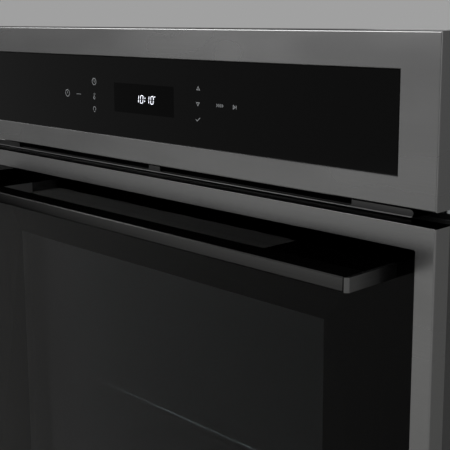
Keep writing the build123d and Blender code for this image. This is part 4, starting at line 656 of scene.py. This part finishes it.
def door_seal():
    """Braided seal round the baking space's mouth: a D-shaped bulb carried along a round-cornered frame,
    its skin raised by the product of two cosines that run across each other, as crossed yarns do."""
    low, high = np.array(box_mm("door_gasket"))
    size, middle = high - low, (low + high) / 2
    path, normals, far = rounded_frame(size[0] - SEAL_W, size[2] - SEAL_W, SEAL_CORNER, step=0.8)
    angle = np.linspace(0, 2 * math.pi, 20, endpoint=False)[None, :]
    phase = (2 * math.pi * round(far[-1] / YARN) * far / far[-1])[:, None]
    skin = YARN_LIFT * np.cos(phase + STRANDS * angle) * np.cos(phase - STRANDS * angle)
    out = (SEAL_W / 2 - YARN_LIFT + skin) * np.cos(angle)
    bulge = np.sign(np.sin(angle)) * np.abs(np.sin(angle)) ** FLATNESS
    depth = (size[1] / 2 - YARN_LIFT + skin) * bulge
    flat = path[:, None, :] + out[..., None] * normals[:, None, :]
    points = np.stack([flat[..., 0] + middle[0], depth + middle[1], flat[..., 1] + middle[2]], -1)
    bulb = tube(points * MM, closed=True)
    seal = piece("braided_door_seal", [bulb], FINISH["seal"], "oven", smooth=True)
    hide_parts("door_gasket")


touch_marks()
clock()
door_seal()

# Studio, in metres

BACKDROP, FLOOR = "#a0a0a0", "#b8b8b6"
FLOOR_REACH = 30.0
FADE_START, FADE_END = 1.5, 4.0
FRONT_MIDDLE = (0.0, -0.3, 0.35)


def backdrop():
    """Even light from all round, in the backdrop's tone."""
    world = bpy.data.worlds.new("studio")
    world.use_nodes = True
    world.node_tree.nodes["Background"].inputs["Color"].default_value = linear(BACKDROP)
    bpy.context.scene.world = world


def studio_floor():
    """A plain pale floor that fades to the backdrop's tone some metres away."""
    corners = [(x * FLOOR_REACH, y * FLOOR_REACH, 0) for x, y in ((-1, -1), (1, -1), (1, 1), (-1, 1))]
    mesh = bpy.data.meshes.new("studio_floor")
    mesh.from_pydata(corners, [], [(0, 1, 2, 3)])
    material, tree, shader = surface("pale_floor", {"Base Color": linear(FLOOR), "Roughness": 0.9})
    place = add(tree, "TexCoord").outputs["Object"]
    far = add(tree, "VectorMath", {0: place}, operation="LENGTH").outputs["Value"]
    reach = {"Value": far, "From Min": FADE_START, "From Max": FADE_END}
    fade = add(tree, "MapRange", reach, interpolation_type="SMOOTHSTEP").outputs["Result"]
    haze = add(tree, "Emission", {"Color": linear(BACKDROP), "Strength": 1.0})
    both = {0: fade, 1: shader.outputs["BSDF"], 2: haze.outputs["Emission"]}
    mixed = add(tree, "MixShader", both).outputs["Shader"]
    tree.links.new(mixed, tree.nodes["Material Output"].inputs["Surface"])
    mesh.materials.append(material)
    floor = bpy.data.objects.new("studio_floor", mesh)
    bpy.context.scene.collection.objects.link(floor)


def softbox(name, place, aim, size, watts):
    """A soft rectangular studio lamp that isn't seen itself."""
    lamp = bpy.data.lights.new(name, "AREA")
    lamp.shape, lamp.energy = "RECTANGLE", watts
    lamp.size, lamp.size_y = size
    holder = bpy.data.objects.new(name, lamp)
    holder.location = place
    holder.rotation_euler = (Vector(aim) - Vector(place)).to_track_quat("-Z", "Y").to_euler()
    holder.visible_camera = False
    bpy.context.scene.collection.objects.link(holder)


backdrop()
studio_floor()
softbox("key_from_front_left", (-2.2, -2.25, 1.9), FRONT_MIDDLE, (2.4, 1.4), watts=74)
softbox("fill_from_front_right", (2.2, -1.9, 1.5), FRONT_MIDDLE, (1.4, 1.4), watts=26)
softbox("top", (0.2, 0.1, 2.6), (0, 0, 0.3), (1.8, 1.8), watts=12)
softbox("from_behind", (-0.9, 2.6, 1.7), (0, 0.2, 0.3), (2.0, 1.4), watts=24)

# Camera

CAMERA_PLACE = (0.6297, -0.8109, 0.6068)
YAW, PITCH, ROLL = (math.radians(angle) for angle in (46.207, 9.797, -0.234))
SENSOR_MM, LENS_MM = 36.0, 75.546
# Share of the picture's width by which the view is shifted, less than in the photograph, so that the
# other views aren't cropped
SHIFT_Y = -0.1


def set_camera():
    """The photograph's view: from the right of the panel, a little above it, with a long lens."""
    ahead = Vector((-math.sin(YAW) * math.cos(PITCH), math.cos(YAW) * math.cos(PITCH), -math.sin(PITCH)))
    level = Vector((math.cos(YAW), math.sin(YAW), 0))
    upright = level.cross(ahead)
    right = level * math.cos(ROLL) + upright * math.sin(ROLL)
    up = upright * math.cos(ROLL) - level * math.sin(ROLL)
    data = bpy.data.cameras.new("camera")
    data.sensor_width, data.lens, data.shift_y = SENSOR_MM, LENS_MM, SHIFT_Y
    data.clip_start, data.clip_end = 0.05, 100.0
    camera = bpy.data.objects.new("camera", data)
    turned = Matrix((right, up, -ahead)).transposed().to_4x4()
    camera.matrix_world = Matrix.Translation(CAMERA_PLACE) @ turned
    bpy.context.scene.collection.objects.link(camera)
    bpy.context.scene.camera = camera


set_camera()
bpy.context.scene.view_settings.view_transform = "Standard"
